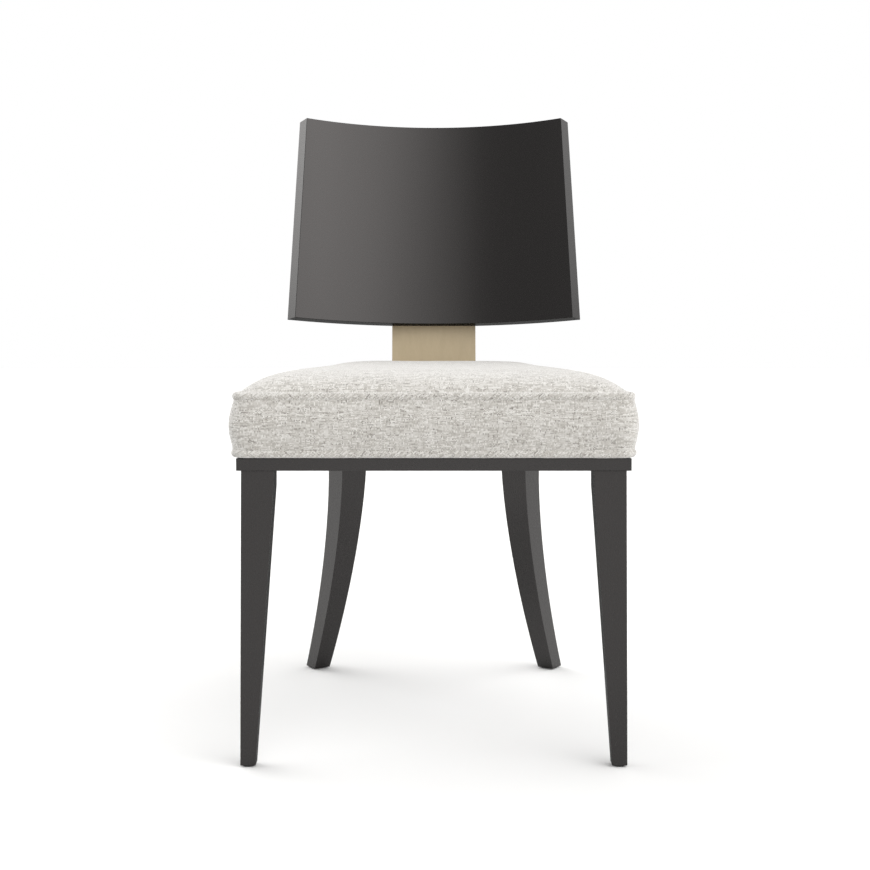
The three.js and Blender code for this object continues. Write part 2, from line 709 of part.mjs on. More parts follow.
// Rings of a surface that lies a skin's depth inside the finished cushion, from bottom to top
function cushionRings(depth, bottom) {
  const top = seamHeight - depth;
  const heights = BOXING_ROW_SHARES
    .map((share) => boxingBottom + (top - boxingBottom) * share)
    .filter((z) => z > bottom);
  const rings = [bottom, ...heights].map((z) => (
    cushionOutline(boxingOverhang(z) - depth, SIDE_STEPS)
      .map(({ at }) => new THREE.Vector3(at.x, at.y, z))
  ));
  const seam = cushionOutline(SEAM_OVERHANG - depth, SIDE_STEPS);
  const centre = new THREE.Vector2(0, SEAT_DEPTH * CROWN_CENTRE_SHARE);
  CROWN_ROW_SHARES.forEach((share) => {
    rings.push(seam.map(({ at }) => {
      const point = at.clone().lerp(centre, share);
      return new THREE.Vector3(point.x, point.y, crownInside(point.x, point.y, depth));
    }));
  });
  const peak = new THREE.Vector3(centre.x, centre.y, crownInside(centre.x, centre.y, depth));
  return { rings, peak };
}

// Slot for the splat at the back of the soft pieces
const slotCutter = prismAlongX([
  [splatFrontAt(baseTop - OVERRUN) - SOFT_GAP, baseTop - OVERRUN],
  [SEAT_DEPTH * 2, baseTop - OVERRUN],
  [SEAT_DEPTH * 2, baseTop + PANEL_LIFT],
  [splatFrontAt(baseTop + PANEL_LIFT) - SOFT_GAP, baseTop + PANEL_LIFT],
], SPLAT_WIDTH + SOFT_GAP * 2);

function seatCover() {
  const outer = cushionRings(0, boxingBottom);
  const inner = cushionRings(FABRIC_THICKNESS, boxingBottom);
  const rings = [...inner.rings.reverse(), ...outer.rings];
  return cut(loft(rings, inner.peak, outer.peak), [slotCutter]);
}

function seatFoam() {
  const { rings, peak } = cushionRings(FABRIC_THICKNESS + FOAM_GAP, foamBottom);
  return cut(loft(rings, centreOf(rings[0]), peak), [slotCutter]);
}

const upholstery = new THREE.Group();
chair.add(upholstery);
add(upholstery, 'seat_cover', seatCover(), WEAVE);
add(upholstery, 'seat_foam', seatFoam(), FOAM);

// Edge pads between seat frame and cover, mitred at the corners and cut round frame and posts
const padTop = foamBottom - SOFT_GAP;

function padRing() {
  const depth = FABRIC_THICKNESS + SOFT_GAP;
  const heights = BOXING_ROW_SHARES
    .map((share) => boxingBottom + BOXING_HEIGHT * share)
    .filter((z) => z < padTop);
  const rings = [...heights, padTop].map((z) => (
    cushionOutline(boxingOverhang(z) - depth, 1)
      .map(({ at }) => new THREE.Vector3(at.x, at.y, z))
  ));
  const bottom = boxingBottom - OVERRUN;
  const top = padTop + OVERRUN;
  const frameInset = SEAT_RAIL_INSET - SOFT_GAP;
  const frameBackInset = SEAT_DEPTH - splatFrontAtBase - SOFT_GAP;
  const leaningBack = prismAlongX([
    [backRailFront, bottom],
    [splatFrontAt(bottom) + SOFT_GAP, bottom],
    [splatFrontAt(top) + SOFT_GAP, top],
    [backRailFront, top],
  ], rearPostCentre.x * 2);
  return cut(closedLoft(rings), [
    prism(seatCorners(frameInset, frameInset, frameBackInset), bottom, top),
    leaningBack,
    ...postCutters,
  ]);
}

const pads = padRing();
const padStrip = (i) => prism(
  mitredStrip(seatCorners(-BASE_RAIL_WIDTH), seatCorners(BASE_RAIL_WIDTH), i),
  baseBottom,
  seamHeight,
);
const besideSplat = SPLAT_WIDTH / 2 + SOFT_GAP;
const leftOfSplat = prism([
  new THREE.Vector2(besideSplat, 0),
  new THREE.Vector2(SEAT_FRONT_WIDTH, 0),
  new THREE.Vector2(SEAT_FRONT_WIDTH, SEAT_DEPTH * 2),
  new THREE.Vector2(besideSplat, SEAT_DEPTH * 2),
], baseBottom, seamHeight);
const sidePad = common(pads, [padStrip(1)]);
const backPad = common(pads, [padStrip(2), leftOfSplat]);
add(upholstery, 'edge_pad_front', common(pads, [padStrip(0)]), FOAM);
add(upholstery, 'edge_pad_left', sidePad, FOAM);
add(upholstery, 'edge_pad_right', mirrored(sidePad), FOAM);
add(upholstery, 'edge_pad_back_left', backPad, FOAM);
add(upholstery, 'edge_pad_back_right', mirrored(backPad), FOAM);

// Bead round the cushion at a height, open where the splat passes
function beadAround(outerOverhang, z) {
  const overhang = outerOverhang - WELT_RADIUS;
  const backwards = new THREE.Vector2(0, 1);
  const back = SEAT_DEPTH + overhang;
  const path = [
    { at: new THREE.Vector2(-besideSplat, back), normal: backwards },
    ...cushionOutline(overhang, 1),
    { at: new THREE.Vector2(besideSplat, back), normal: backwards },
  ];
  const rings = path.map(({ at, normal }) => (
    Array.from({ length: WELT_SIDES }, (unused, i) => {
      const angle = -Math.PI * 2 * (i + 0.5) / WELT_SIDES;
      const out = WELT_RADIUS * Math.cos(angle);
      const up = WELT_RADIUS * Math.sin(angle);
      return new THREE.Vector3(at.x + normal.x * out, at.y + normal.y * out, z + up);
    })
  ));
  return closedLoft(rings);
}

// Top welt: what stands proud of the cover of a bead along its top seam
function seatTopWelt() {
  const { rings, peak } = cushionRings(-SOFT_GAP, boxingBottom);
  const cushion = loft(rings, centreOf(rings[0]), peak);
  return cut(beadAround(TOP_WELT_OVERHANG, seamHeight), [cushion]);
}

add(upholstery, 'seat_welt', beadAround(WELT_OVERHANG, weltBottom + WELT_RADIUS), WEAVE);
add(upholstery, 'seat_top_welt', seatTopWelt(), WEAVE);

// Dust cover: a cloth under the base frame, cut out round the legs
function dustCover() {
  const bottom = baseBottom - DUST_COVER_THICKNESS;
  const around = (section, grow) => {
    const side = section.side + grow * 2;
    const corner = sectionCentre(section)
      .addScaledVector(section.along, -side / 2)
      .addScaledVector(section.across, -side / 2);
    const ring = (z) => squareRing(corner, section.along, section.across, side, z);
    return closedLoft([ring(bottom - OVERRUN), ring(baseBottom + OVERRUN)]);
  };
  const front = around(frontLegTop, DUST_COVER_LEG_GAP);
  const rear = around(rearLegTop, DUST_COVER_LEG_GAP);
  const sheet = prism(seatCorners(DUST_COVER_INSET), bottom, baseBottom);
  return cut(sheet, [front, mirrored(front), rear, mirrored(rear)]);
}

add(upholstery, 'dust_cover', dustCover(), DUST_CLOTH);

// Back: built upright in its own frame and then leaned. Its origin is the middle of the panel's
// lower front edge, its Y runs through the panel's thickness and its Z up the panel
const back = new THREE.Group();
const splatFront = PANEL_THICKNESS - HOUSING_DEPTH;

function alongBackAt(z, depth) {
  return (z - baseTop - PANEL_LIFT + depth * Math.sin(RAKE)) / Math.cos(RAKE);
}

const splatFrontFoot = alongBackAt(baseTop, splatFront);
back.position.set(
  0,
  splatFrontAtBase - splatFrontFoot * Math.sin(RAKE) - splatFront * Math.cos(RAKE),
  baseTop + PANEL_LIFT,
);
back.rotation.x = -RAKE;
back.updateMatrix();
chair.add(back);

function dowelRod(radius, depth, side, height) {
  return rodAlongX(radius, splatFront - depth, splatFront + depth)
    .rotateZ(Math.PI / 2)
    .translate(side * DOWEL_HALF_SPACING, 0, height);
}

const dowelBores = DOWEL_HEIGHTS.flatMap((height) => [1, -1].map((side) => (
  dowelRod(DOWEL_RADIUS + JOINT_GAP, DOWEL_DEPTH + JOINT_GAP, side, height)
)));

// Panel: a bent board, concave to the sitter, with ends square to its curve
function backPanel() {
  const bottomReach = Math.asin(PANEL_BOTTOM_CHORD / 2 / PANEL_RADIUS);
  const topReach = Math.asin(PANEL_TOP_CHORD / 2 / PANEL_RADIUS);
  const point = (angle, depth, z) => new THREE.Vector3(
    (PANEL_RADIUS + depth) * Math.sin(angle),
    (PANEL_RADIUS + depth) * Math.cos(angle) - PANEL_RADIUS,
    z,
  );
  const rings = Array.from({ length: PANEL_STEPS + 1 }, (unused, i) => {
    const share = 1 - 2 * i / PANEL_STEPS;
    return [
      point(bottomReach * share, 0, 0),
      point(topReach * share, 0, PANEL_HEIGHT),
      point(topReach * share, PANEL_THICKNESS, PANEL_HEIGHT),
      point(bottomReach * share, PANEL_THICKNESS, 0),
    ];
  });
  const housing = prismAlongX([
    [splatFront - JOINT_GAP, -OVERRUN],
    [PANEL_THICKNESS + OVERRUN, -OVERRUN],
    [PANEL_THICKNESS + OVERRUN, SPLAT_REACH + JOINT_GAP],
    [splatFront - JOINT_GAP, SPLAT_REACH + JOINT_GAP],
  ], SPLAT_WIDTH + JOINT_GAP * 2);
  return cut(closedLoft(rings), [housing, ...dowelBores]);
}

// Splat: a flat board from the top of the base frame into the housing in the panel's back
function backSplat() {
  const foot = baseTop + JOINT_GAP;
  const rear = splatFront + SPLAT_THICKNESS;
  const board = prismAlongX([
    [splatFront, alongBackAt(foot, splatFront)],
    [rear, alongBackAt(foot, rear)],
    [rear, SPLAT_REACH],
    [splatFront, SPLAT_REACH],
  ], SPLAT_WIDTH);
  const upright = back.matrix.clone().invert();
  const boltBores = splatBoltBores.map((bore) => bore.clone().applyMatrix4(upright));
  return cut(board, [...dowelBores, ...boltBores]);
}

add(back, 'back_panel', backPanel(), CHARCOAL);
add(back, 'back_splat', backSplat(), CHAMPAGNE);
DOWEL_HEIGHTS.forEach((height, row) => {
  [['left', 1], ['right', -1]].forEach(([sideName, side]) => {
    const dowel = dowelRod(DOWEL_RADIUS, DOWEL_DEPTH, side, height);
    add(back, `panel_dowel_${row + 1}_${sideName}`, dowel, BEECH);
  });
});

// Splat bolts: from inside the seat through the back rail into the splat
function splatBolt(length) {
  const profile = [
    new THREE.Vector2(0, -SPLAT_BOLT_HEAD_HEIGHT),
    new THREE.Vector2(SPLAT_BOLT_HEAD_RADIUS, -SPLAT_BOLT_HEAD_HEIGHT),
    new THREE.Vector2(SPLAT_BOLT_HEAD_RADIUS, 0),
    new THREE.Vector2(SPLAT_BOLT_RADIUS, 0),
    new THREE.Vector2(SPLAT_BOLT_RADIUS, length),
    new THREE.Vector2(0, length),
  ];
  return new THREE.LatheGeometry(profile, ROUND_SIDES);
}

SPLAT_BOLT_HEIGHTS.forEach((height, row) => {
  const start = backRailFront - JOINT_GAP;
  const length = splatFrontAt(baseTop + height) + SPLAT_BOLT_DEPTH - start;
  [['left', 1], ['right', -1]].forEach(([sideName, side]) => {
    const bolt = add(seatFrame, `splat_bolt_${row + 1}_${sideName}`, splatBolt(length), STEEL);
    bolt.position.set(side * SPLAT_BOLT_HALF_SPACING, start, baseTop + height);
  });
});

// The origin is the middle of the floor under the chair
const bounds = new THREE.Box3().setFromObject(chair);
const middle = bounds.getCenter(new THREE.Vector3());
chair.position.set(-middle.x, -middle.y, -bounds.min.z);

export default chair;
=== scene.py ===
"""Klismos dining chair: materials, upholstery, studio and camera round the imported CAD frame.

Lengths are metres, Z is up and the sitter faces -Y, so the sitter's left is +X.
"""

import math

import bmesh
import bpy
import numpy as np
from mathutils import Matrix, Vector, noise


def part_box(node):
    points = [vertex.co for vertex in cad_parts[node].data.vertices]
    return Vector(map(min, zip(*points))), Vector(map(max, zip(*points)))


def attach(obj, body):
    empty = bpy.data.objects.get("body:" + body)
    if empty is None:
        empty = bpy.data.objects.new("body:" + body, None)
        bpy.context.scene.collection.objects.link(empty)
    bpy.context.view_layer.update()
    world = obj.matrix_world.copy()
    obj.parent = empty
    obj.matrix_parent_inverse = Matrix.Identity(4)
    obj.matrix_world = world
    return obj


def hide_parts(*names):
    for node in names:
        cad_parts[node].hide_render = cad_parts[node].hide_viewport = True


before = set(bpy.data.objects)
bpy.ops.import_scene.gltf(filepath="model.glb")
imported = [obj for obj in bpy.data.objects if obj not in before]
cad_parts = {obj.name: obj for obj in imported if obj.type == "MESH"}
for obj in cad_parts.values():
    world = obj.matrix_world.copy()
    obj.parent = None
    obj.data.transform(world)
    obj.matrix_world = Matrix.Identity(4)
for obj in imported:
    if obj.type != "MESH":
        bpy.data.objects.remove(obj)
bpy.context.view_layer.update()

# Seat plan, as in the CAD source: a trapezoid that narrows towards the back
SEAT_FRONT_WIDTH = 0.503
SEAT_BACK_WIDTH = 0.338
SEAT_FRONT_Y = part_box("base_rail_front")[0].y
SEAT_BACK_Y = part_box("base_rail_back")[1].y
SEAT_DEPTH = SEAT_BACK_Y - SEAT_FRONT_Y
SIDE_SLOPE = (SEAT_FRONT_WIDTH - SEAT_BACK_WIDTH) / 2 / SEAT_DEPTH
SIDE_ANGLE = math.atan(SIDE_SLOPE)
BASE_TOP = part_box("base_rail_front")[1].z

# Splat: its leaning front face and its width set the slot in the upholstery
RAKE = math.radians(9.73)
SPLAT_HALF_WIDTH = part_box("back_splat")[1].x
SPLAT_FRONT_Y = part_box("back_splat")[0].y
SLOT_GAP = 0.0004

# Cushion cover: overhangs are measured outwards from the edge of the base frame
CORNER_RADIUS = 0.013
FOOT_OVERHANG = 0.0076
HEAD_OVERHANG = 0.0068
SEAM_OVERHANG = 0.0053
BOXING_BULGE = 0.006
BOXING_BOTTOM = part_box("seat_cover")[0].z
SEAM_HEIGHT = BOXING_BOTTOM + 0.067
WELT_LAP = 0.003
EDGE_RISE = 0.0325
EDGE_RUN = 0.0215
SEAM_GROOVE_RUN = 0.0015
MIDDLE_DIP = 0.002
FABRIC_THICKNESS = 0.002
COLUMNS_PER_SIDE = 92
BOXING_ROWS = 14

# Welts under the cover and along its top seam; the overhang is that of their middle line
WELT_RADIUS = 0.0057
BOTTOM_WELT_OVERHANG = 0.0041
TOP_WELT_OVERHANG = 0.0023
TOP_WELT_DROP = 0.0008
BEAD_SIDES = 18
BEAD_COLUMNS_PER_SIDE = 130
BEAD_END_GAP = 0.001
BEAD_WOBBLE = 0.0004
BEAD_WOBBLE_RUN = 0.03
BEAD_WOBBLE_ROW = 5.13

# Simulation of the filled cover: its frames, the air pressure and the most that this moves it
SWELL_FRAMES = 20
SWELL_PRESSURE = 1.2
SWELL_CAP = 0.0007

# Puckers that the stitches pull into the cloth beside a seam, and the cloth's slow unevenness
PUCKER_DEPTH = 0.0009
PUCKER_REACH = 0.011
PUCKER_PITCH = 0.021
PUCKER_UPRIGHT_SHARE = 0.3
FOOT_PUCKER_SHARE = 0.8
SLACK_DEPTH = 0.0005
SLACK_RUN = 0.06
SEWN_REACH = 0.0012
SEWN_SHARE = 0.3

# Fine arris on the lacquered wood, and the angles up to which an edge is smooth, flat or plain
ARRIS_WIDTH = 0.0009
SMOOTH_ANGLE = math.radians(32)
FLAT_ANGLE = math.radians(0.5)
PLAIN_ANGLE = math.radians(35)

# Colours are linear and run from dark to light. The arris ones are lighter but far less glossy; on the
# charcoal they draw a thin dark line along the edges, partly rubbed wear and partly painted shade for the
# edges' dark reflections
CHARCOAL_DARK = (0.0016, 0.0013, 0.0013)
CHARCOAL_LIGHT = (0.0028, 0.0025, 0.0024)
CHARCOAL_ARRIS_WEAR_AND_SHADE_DARK = (0.006, 0.0056, 0.0054)
CHARCOAL_ARRIS_WEAR_AND_SHADE_LIGHT = (0.012, 0.011, 0.0105)
CHAMPAGNE_DARK = (0.445, 0.356, 0.221)
CHAMPAGNE_LIGHT = (0.5, 0.407, 0.259)
WORN_CHAMPAGNE_DARK = (0.533, 0.442, 0.304)
WORN_CHAMPAGNE_LIGHT = (0.59, 0.504, 0.361)
HEATHER_STOPS = [
    (0.0, (0.245, 0.228, 0.203)),
    (0.07, (0.39, 0.368, 0.335)),
    (0.3, (0.49, 0.466, 0.43)),
    (0.55, (0.563, 0.542, 0.508)),
    (0.8, (0.634, 0.616, 0.585)),
    (1.0, (0.743, 0.727, 0.697)),
]
JUTE_DARK = (0.3, 0.23, 0.14, 1)
JUTE_LIGHT = (0.42, 0.33, 0.21, 1)
JUTE_STAIN = (0.5, 0.41, 0.28, 1)
JUTE_STRIPE = (0.05, 0.04, 0.035, 1)
FOAM_DARK = (0.72, 0.66, 0.5)
FOAM_LIGHT = (0.85, 0.8, 0.65)
FELT_DARK = (0.006, 0.006, 0.007)
FELT_LIGHT = (0.022, 0.022, 0.024)
BEECH_DARK = (0.5, 0.31, 0.16)
BEECH_LIGHT = (0.66, 0.45, 0.26)
BEECH_FLECK = (0.3, 0.17, 0.08, 1)
ZINC_DARK = (0.42, 0.43, 0.45)
ZINC_LIGHT = (0.62, 0.63, 0.65)
NYLON_DARK = (0.02, 0.02, 0.02)
NYLON_LIGHT = (0.05, 0.05, 0.05)

# Wood grain: how its noise is squeezed across each direction, its scales and the broad one's share
UP_GRAIN = (9.0, 9.0, 1.0)
ACROSS_GRAIN = (1.0, 9.0, 9.0)
DEEP_GRAIN = (9.0, 1.0, 9.0)
BROAD_GRAIN = 14
FINE_GRAIN = 120
BROAD_SHARE = 0.6
BEECH_RINGS = 18
BEECH_FLECKS = 260
FLECK_LIMIT = 0.66

# Roughness of the lacquers, and how much the grain or the wear takes from it or gives to it
CHARCOAL_ROUGHNESS = 0.26
WORN_CHARCOAL_ROUGHNESS = 0.5
CHAMPAGNE_ROUGHNESS = 0.42
GRAIN_SMOOTHS = 0.03
GRAIN_ROUGHENS = 0.05
ARRIS_WEAR_AND_SHADE_SCALE = 55
WEAR_CHANGES = 0.08

# Specular level of the lacquer, seen square on and at a grazing angle; it fades between two
# shares of turning away
LACQUER_GLOSS = 0.53
GRAZING_GLOSS = 0.003
GLOSS_FADES_FROM = 0.65
GLOSS_FADES_TO = 0.8
GLOSS_TINT = (1, 0.955, 0.945, 1)

# Plan of the legs under the base frame
FRONT_LEG_INSET = 0.0056
FRONT_LEG_HALF = 0.02075
REAR_LEG_TURN = math.radians(33.4)
REAR_LEG_HALF = 0.022
REAR_LEG_SIDE_INSET = 0.005
REAR_LEG_BACK_INSET = 0.0038

# Weave of the cover: thread pitches across and up, cells that a thread keeps its shade for and
# the most that these runs are shifted by, the share of chance in which thread lies on top, and
# the limit above which that is the weft
THREAD_PITCHES = (0.0016, 0.0013)
SHADE_RUNS = (2.5, 5.0)
RUN_SHIFT = 7.0
CHANCE_SHARE = 0.62
WEFT_LIMIT = 0.46

# Noise scales of the threads' drift, of the tint all over and of the fibres; the tint's share,
# that of fibres and shade in the relief, and the relief's depth
DRIFT_SCALE = 90.0
TINT_SCALE = 22
FIBRE_SCALE = 1500
TINT_SHARE = 0.12
RELIEF_SHARE = 0.5
THREAD_RELIEF = 0.0003
HEATHER_SHEEN = 0.75

# Noise scales and relief of the foam, the felted cloth, the zinc and the glides
FOAM_SCALE = 700
FOAM_RELIEF = 0.0006
FELT_SCALE = 420
FELT_RELIEF = 0.0003
ZINC_SPANGLE = 260
NYLON_TEXTURE = 900
NYLON_SCUFF = 130

# Cells in which the seat block and the edge padding are remeshed
BLOCK_CELL = 0.005
PAD_CELL = 0.003

# Webbing, dust cloth and its staples
WEB_WIDTH = 0.048
WEB_THICKNESS = 0.0014
WEB_WAVE = 0.00085
WEB_CLEARANCE = 0.0002
WEB_STEPS = 96
WEB_RIBS = 6
WEB_THREAD_SCALE = 500.0
WEB_STAIN_SCALE = 60
STRIPE_PLACE = 0.36
STRIPE_HALF = 0.035
CLOTH_THICKNESS = 0.0005
CLOTH_SAG = 0.003
CLOTH_RIPPLE = 0.0006
CLOTH_RIPPLE_RUN = 0.05
CLOTH_STEPS = 70
CLOTH_INSET = 0.026
CLOTH_CLEARANCE = 0.0001
LEG_CLEARANCE = 0.001
STAPLE_PITCH = 0.028
STAPLE_HALF = 0.005
STAPLE_WIRE = 0.0006
STAPLE_DROP = 0.0012
STAPLE_DEPTH = 0.0007
STAPLE_INSET = 0.006
STAPLE_TILT = 0.3
STAPLE_TILT_PACE = 50
LEG_REACH = 1.6

# Studio: the floor bounces less light than it shows, as in a cut-out product picture
FLOOR_REACH = 14.0
FLOOR_GREY = (0.75, 0.75, 0.75, 1)
FLOOR_WHITE = (0.93, 0.93, 0.93, 1)

# Soft round patches of light: azimuth, elevation, inner and outer angle, radiance
GLOWS = [
    (0, 4, 4, 16, 0.7),
    (25, 28, 8, 20, 0.2),
    (42, 28, 8, 20, 0.33),
    (58, 28, 8, 20, 0.68),
    (30, 20, 38, 46, 0.44),
    (45, 44, 38, 46, 0.58),
    (60, 44, 38, 46, 0.56),
    (0, 90, 80, 100, 0.4),
    (105, 30, 22, 34, 0.4),
    (-105, 30, 22, 34, 1.1),
    (-120, 45, 22, 34, 0.64),
    (140, 30, 22, 34, 0.38),
    (-140, 30, 22, 34, 1.0),
    (180, 60, 19, 31, 0.35),
]

# Camera, from the picture's perspective; its shift frames the chair as the picture does
CAMERA_LENS = 60.99
CAMERA_SENSOR = 36.0
CAMERA_PLACE = (0, -2.1485, 0.5803)
CAMERA_TILT = math.radians(86.939)
PICTURE_WIDTH = 870
CAMERA_SHIFT = (1.15 / PICTURE_WIDTH, -40 / PICTURE_WIDTH)


def half_width(y):
    return SEAT_FRONT_WIDTH / 2 - SIDE_SLOPE * (y - SEAT_FRONT_Y)


# Shader nodes


def add(tree, kind, inputs=None, **settings):
    """One shader node. An input is a value, or an output that is linked to it."""
    made = tree.nodes.new("ShaderNode" + kind)
    for key, value in settings.items():
        setattr(made, key, value)
    for key, value in (inputs or {}).items():
        if isinstance(value, bpy.types.NodeSocket):
            tree.links.new(value, made.inputs[key])
        else:
            made.inputs[key].default_value = value
    return made


def calc(tree, operation, *values):
    return add(tree, "Math", dict(enumerate(values)), operation=operation).outputs[0]


def blend(tree, share, first, second):
    """Colour between two colours."""
    return add(tree, "Mix", {0: share, 6: first, 7: second}, data_type="RGBA").outputs[2]


def blend_value(tree, share, first, second):
    """Number between two numbers."""
    return add(tree, "Mix", {0: share, 2: first, 3: second}, data_type="FLOAT").outputs[0]


def ramp(tree, value, stops):
    """Colours along a value; a stop is its place and its colour."""
    made = add(tree, "ValToRGB", {0: value})
    elements = made.color_ramp.elements
    while len(elements) < len(stops):
        elements.new(1)
    for element, (place, colour) in zip(elements, stops):
        element.position = place
        element.color = (*colour, 1)
    return made.outputs[0]


def remap(tree, value, low, high):
    inputs = {"Value": value, "To Min": low, "To Max": high}
    return add(tree, "MapRange", inputs).outputs[0]


def grain_vector(tree, stretch):
    """Object coordinates, stretched so that a pattern runs along the wood."""
    place = add(tree, "TexCoord").outputs["Object"]
    return add(tree, "Mapping", {"Vector": place, "Scale": stretch}).outputs[0]


def pattern(tree, vector, scale, detail=3, roughness=0.55, distortion=0):
    """Noise around one half."""
    inputs = {
        "Vector": vector,
        "Scale": scale,
        "Detail": detail,
        "Roughness": roughness,
        "Distortion": distortion,
    }
    return add(tree, "TexNoise", inputs).outputs[0]


def bump(tree, surface, height, distance, strength):
    inputs = {"Height": height, "Distance": distance, "Strength": strength}
    made = add(tree, "Bump", inputs)
    tree.links.new(made.outputs[0], surface.inputs["Normal"])


def shader(name, sockets):
    """A material with one principled surface; its even values sit on the sockets themselves."""
    material = bpy.data.materials.new(name)
    material.use_nodes = True
    surface = material.node_tree.nodes["Principled BSDF"]
    for socket, value in sockets.items():
        surface.inputs[socket].default_value = value
    return material, material.node_tree, surface


# Materials


def lacquer(name, dark, light, roughness, stretch):
    """Satin lacquer over wood whose grain shows faintly; its gloss fades at grazing angles."""
    material, tree, surface = shader(name, {"IOR": 1.6, "Specular Tint": GLOSS_TINT})
    facing = add(tree, "LayerWeight", {"Blend": 0.5}).outputs["Facing"]
    limits = {
        "Value": facing,
        "From Min": GLOSS_FADES_FROM,
        "From Max": GLOSS_FADES_TO,
        "To Min": LACQUER_GLOSS,
        "To Max": GRAZING_GLOSS,
    }
    tree.links.new(add(tree, "MapRange", limits).outputs[0], surface.inputs["Specular IOR Level"])
    along = grain_vector(tree, stretch)
    broad = calc(tree, "MULTIPLY", pattern(tree, along, BROAD_GRAIN, detail=4), BROAD_SHARE)
    fine = pattern(tree, along, FINE_GRAIN, detail=2)
    grain = calc(tree, "ADD", broad, calc(tree, "MULTIPLY", fine, 1 - BROAD_SHARE))
    colour = ramp(tree, grain, [(0.3, dark), (0.7, light)])
    tree.links.new(colour, surface.inputs["Base Color"])
    gloss = remap(tree, fine, roughness - GRAIN_SMOOTHS, roughness + GRAIN_ROUGHENS)
    tree.links.new(gloss, surface.inputs["Roughness"])
    bump(tree, surface, grain, 0.0001, 0.2)
    return material


def arris_wear_and_shade(name, dark, light, roughness):
    """The lacquer on an arris: lighter in colour and far less glossy, so that on the charcoal the edges read
    as a thin dark line; partly rubbed wear, partly painted shade standing in for the edges' dark reflections.
    """
    material, tree, surface = shader(name, {"Specular IOR Level": 0.15})
    place = add(tree, "TexCoord").outputs["Object"]
    rub_and_shade = pattern(tree, place, ARRIS_WEAR_AND_SHADE_SCALE, detail=4)
    colour = ramp(tree, rub_and_shade, [(0.42, dark), (0.66, light)])
    tree.links.new(colour, surface.inputs["Base Color"])
    gloss = remap(tree, rub_and_shade, roughness - WEAR_CHANGES, roughness + WEAR_CHANGES)
    tree.links.new(gloss, surface.inputs["Roughness"])
    return material


def thread_shade(tree, cell, other, run, seed):
    """Random shade of one thread that changes every few cells along it."""
    offset = add(tree, "TexWhiteNoise", {"W": cell}, noise_dimensions="1D").outputs[0]
    shifted = calc(tree, "MULTIPLY_ADD", offset, RUN_SHIFT, calc(tree, "DIVIDE", other, run))
    place = add(tree, "CombineXYZ", {0: cell, 1: calc(tree, "FLOOR", shifted), 2: seed})
    return add(tree, "TexWhiteNoise", {"Vector": place.outputs[0]}).outputs[0]


def weave(name, stops, sheen):
    """Plain weave of uneven threads, read from the cloth's own map in metres."""
    material, tree, surface = shader(
        name,
        {"Roughness": 0.92, "Sheen Weight": sheen, "Sheen Roughness": 0.6, "Specular IOR Level": 0.2},
    )
    cloth = add(tree, "UVMap", uv_map="weave").outputs[0]
    drift = add(tree, "TexNoise", {"Vector": cloth, "Scale": DRIFT_SCALE, "Detail": 2.0}).outputs[1]
    drift = add(tree, "VectorMath", {0: drift, 1: (0.5, 0.5, 0.5)}, operation="SUBTRACT").outputs[0]
    drift = add(tree, "VectorMath", {0: drift, "Scale": THREAD_PITCHES[1]}, operation="SCALE").outputs[0]
    moved = add(tree, "VectorMath", {0: cloth, 1: drift}, operation="ADD").outputs[0]
    along = add(tree, "SeparateXYZ", {0: moved})
    across_cells = calc(tree, "DIVIDE", along.outputs[0], THREAD_PITCHES[0])
    up_cells = calc(tree, "DIVIDE", along.outputs[1], THREAD_PITCHES[1])
    warp = calc(tree, "FLOOR", across_cells)
    weft = calc(tree, "FLOOR", up_cells)
    warp_shade = thread_shade(tree, warp, up_cells, SHADE_RUNS[0], 1.0)
    weft_shade = thread_shade(tree, weft, across_cells, SHADE_RUNS[1], 2.0)

    checker = calc(tree, "PINGPONG", calc(tree, "ADD", warp, weft), 1.0)
    cell = add(tree, "CombineXYZ", {0: warp, 1: weft, 2: 3.0}).outputs[0]
    chance = add(tree, "TexWhiteNoise", {"Vector": cell}).outputs[0]
    weft_on_top = calc(tree, "GREATER_THAN", blend_value(tree, CHANCE_SHARE, checker, chance), WEFT_LIMIT)
    shade = blend_value(tree, weft_on_top, warp_shade, weft_shade)
    tint = calc(tree, "SUBTRACT", pattern(tree, cloth, TINT_SCALE, detail=3), 0.5)
    shade = calc(tree, "ADD", shade, calc(tree, "MULTIPLY", tint, TINT_SHARE))
    tree.links.new(ramp(tree, shade, stops), surface.inputs["Base Color"])

    rounds = [
        calc(tree, "SINE", calc(tree, "MULTIPLY", calc(tree, "FRACT", cells), math.pi))
        for cells in (across_cells, up_cells)
    ]
    fibres = pattern(tree, cloth, FIBRE_SCALE, detail=2)
    height = blend_value(tree, weft_on_top, *rounds)
    for part in (fibres, shade):
        height = calc(tree, "ADD", height, calc(tree, "MULTIPLY", part, RELIEF_SHARE))
    bump(tree, surface, height, THREAD_RELIEF, 0.7)
    return material


def strap_weave():
    """Jute strap: a close weave with two dark guide stripes near its edges."""
    material, tree, surface = shader("webbing_jute", {"Roughness": 0.9, "Sheen Weight": 0.2})
    cloth = add(tree, "UVMap", uv_map="weave").outputs[0]
    along = add(tree, "SeparateXYZ", {0: cloth})
    from_middle = calc(tree, "ABSOLUTE", along.outputs[0])
    stripe = calc(tree, "COMPARE", from_middle, WEB_WIDTH * STRIPE_PLACE, WEB_WIDTH * STRIPE_HALF)
    inputs = {"Vector": cloth, "Color1": JUTE_LIGHT, "Color2": JUTE_DARK, "Scale": WEB_THREAD_SCALE}
    threads = add(tree, "TexChecker", inputs).outputs[0]
    stained = blend(tree, pattern(tree, cloth, WEB_STAIN_SCALE), threads, JUTE_STAIN)
    tree.links.new(blend(tree, stripe, stained, JUTE_STRIPE), surface.inputs["Base Color"])
    bump(tree, surface, threads, 0.0004, 0.8)
    return material


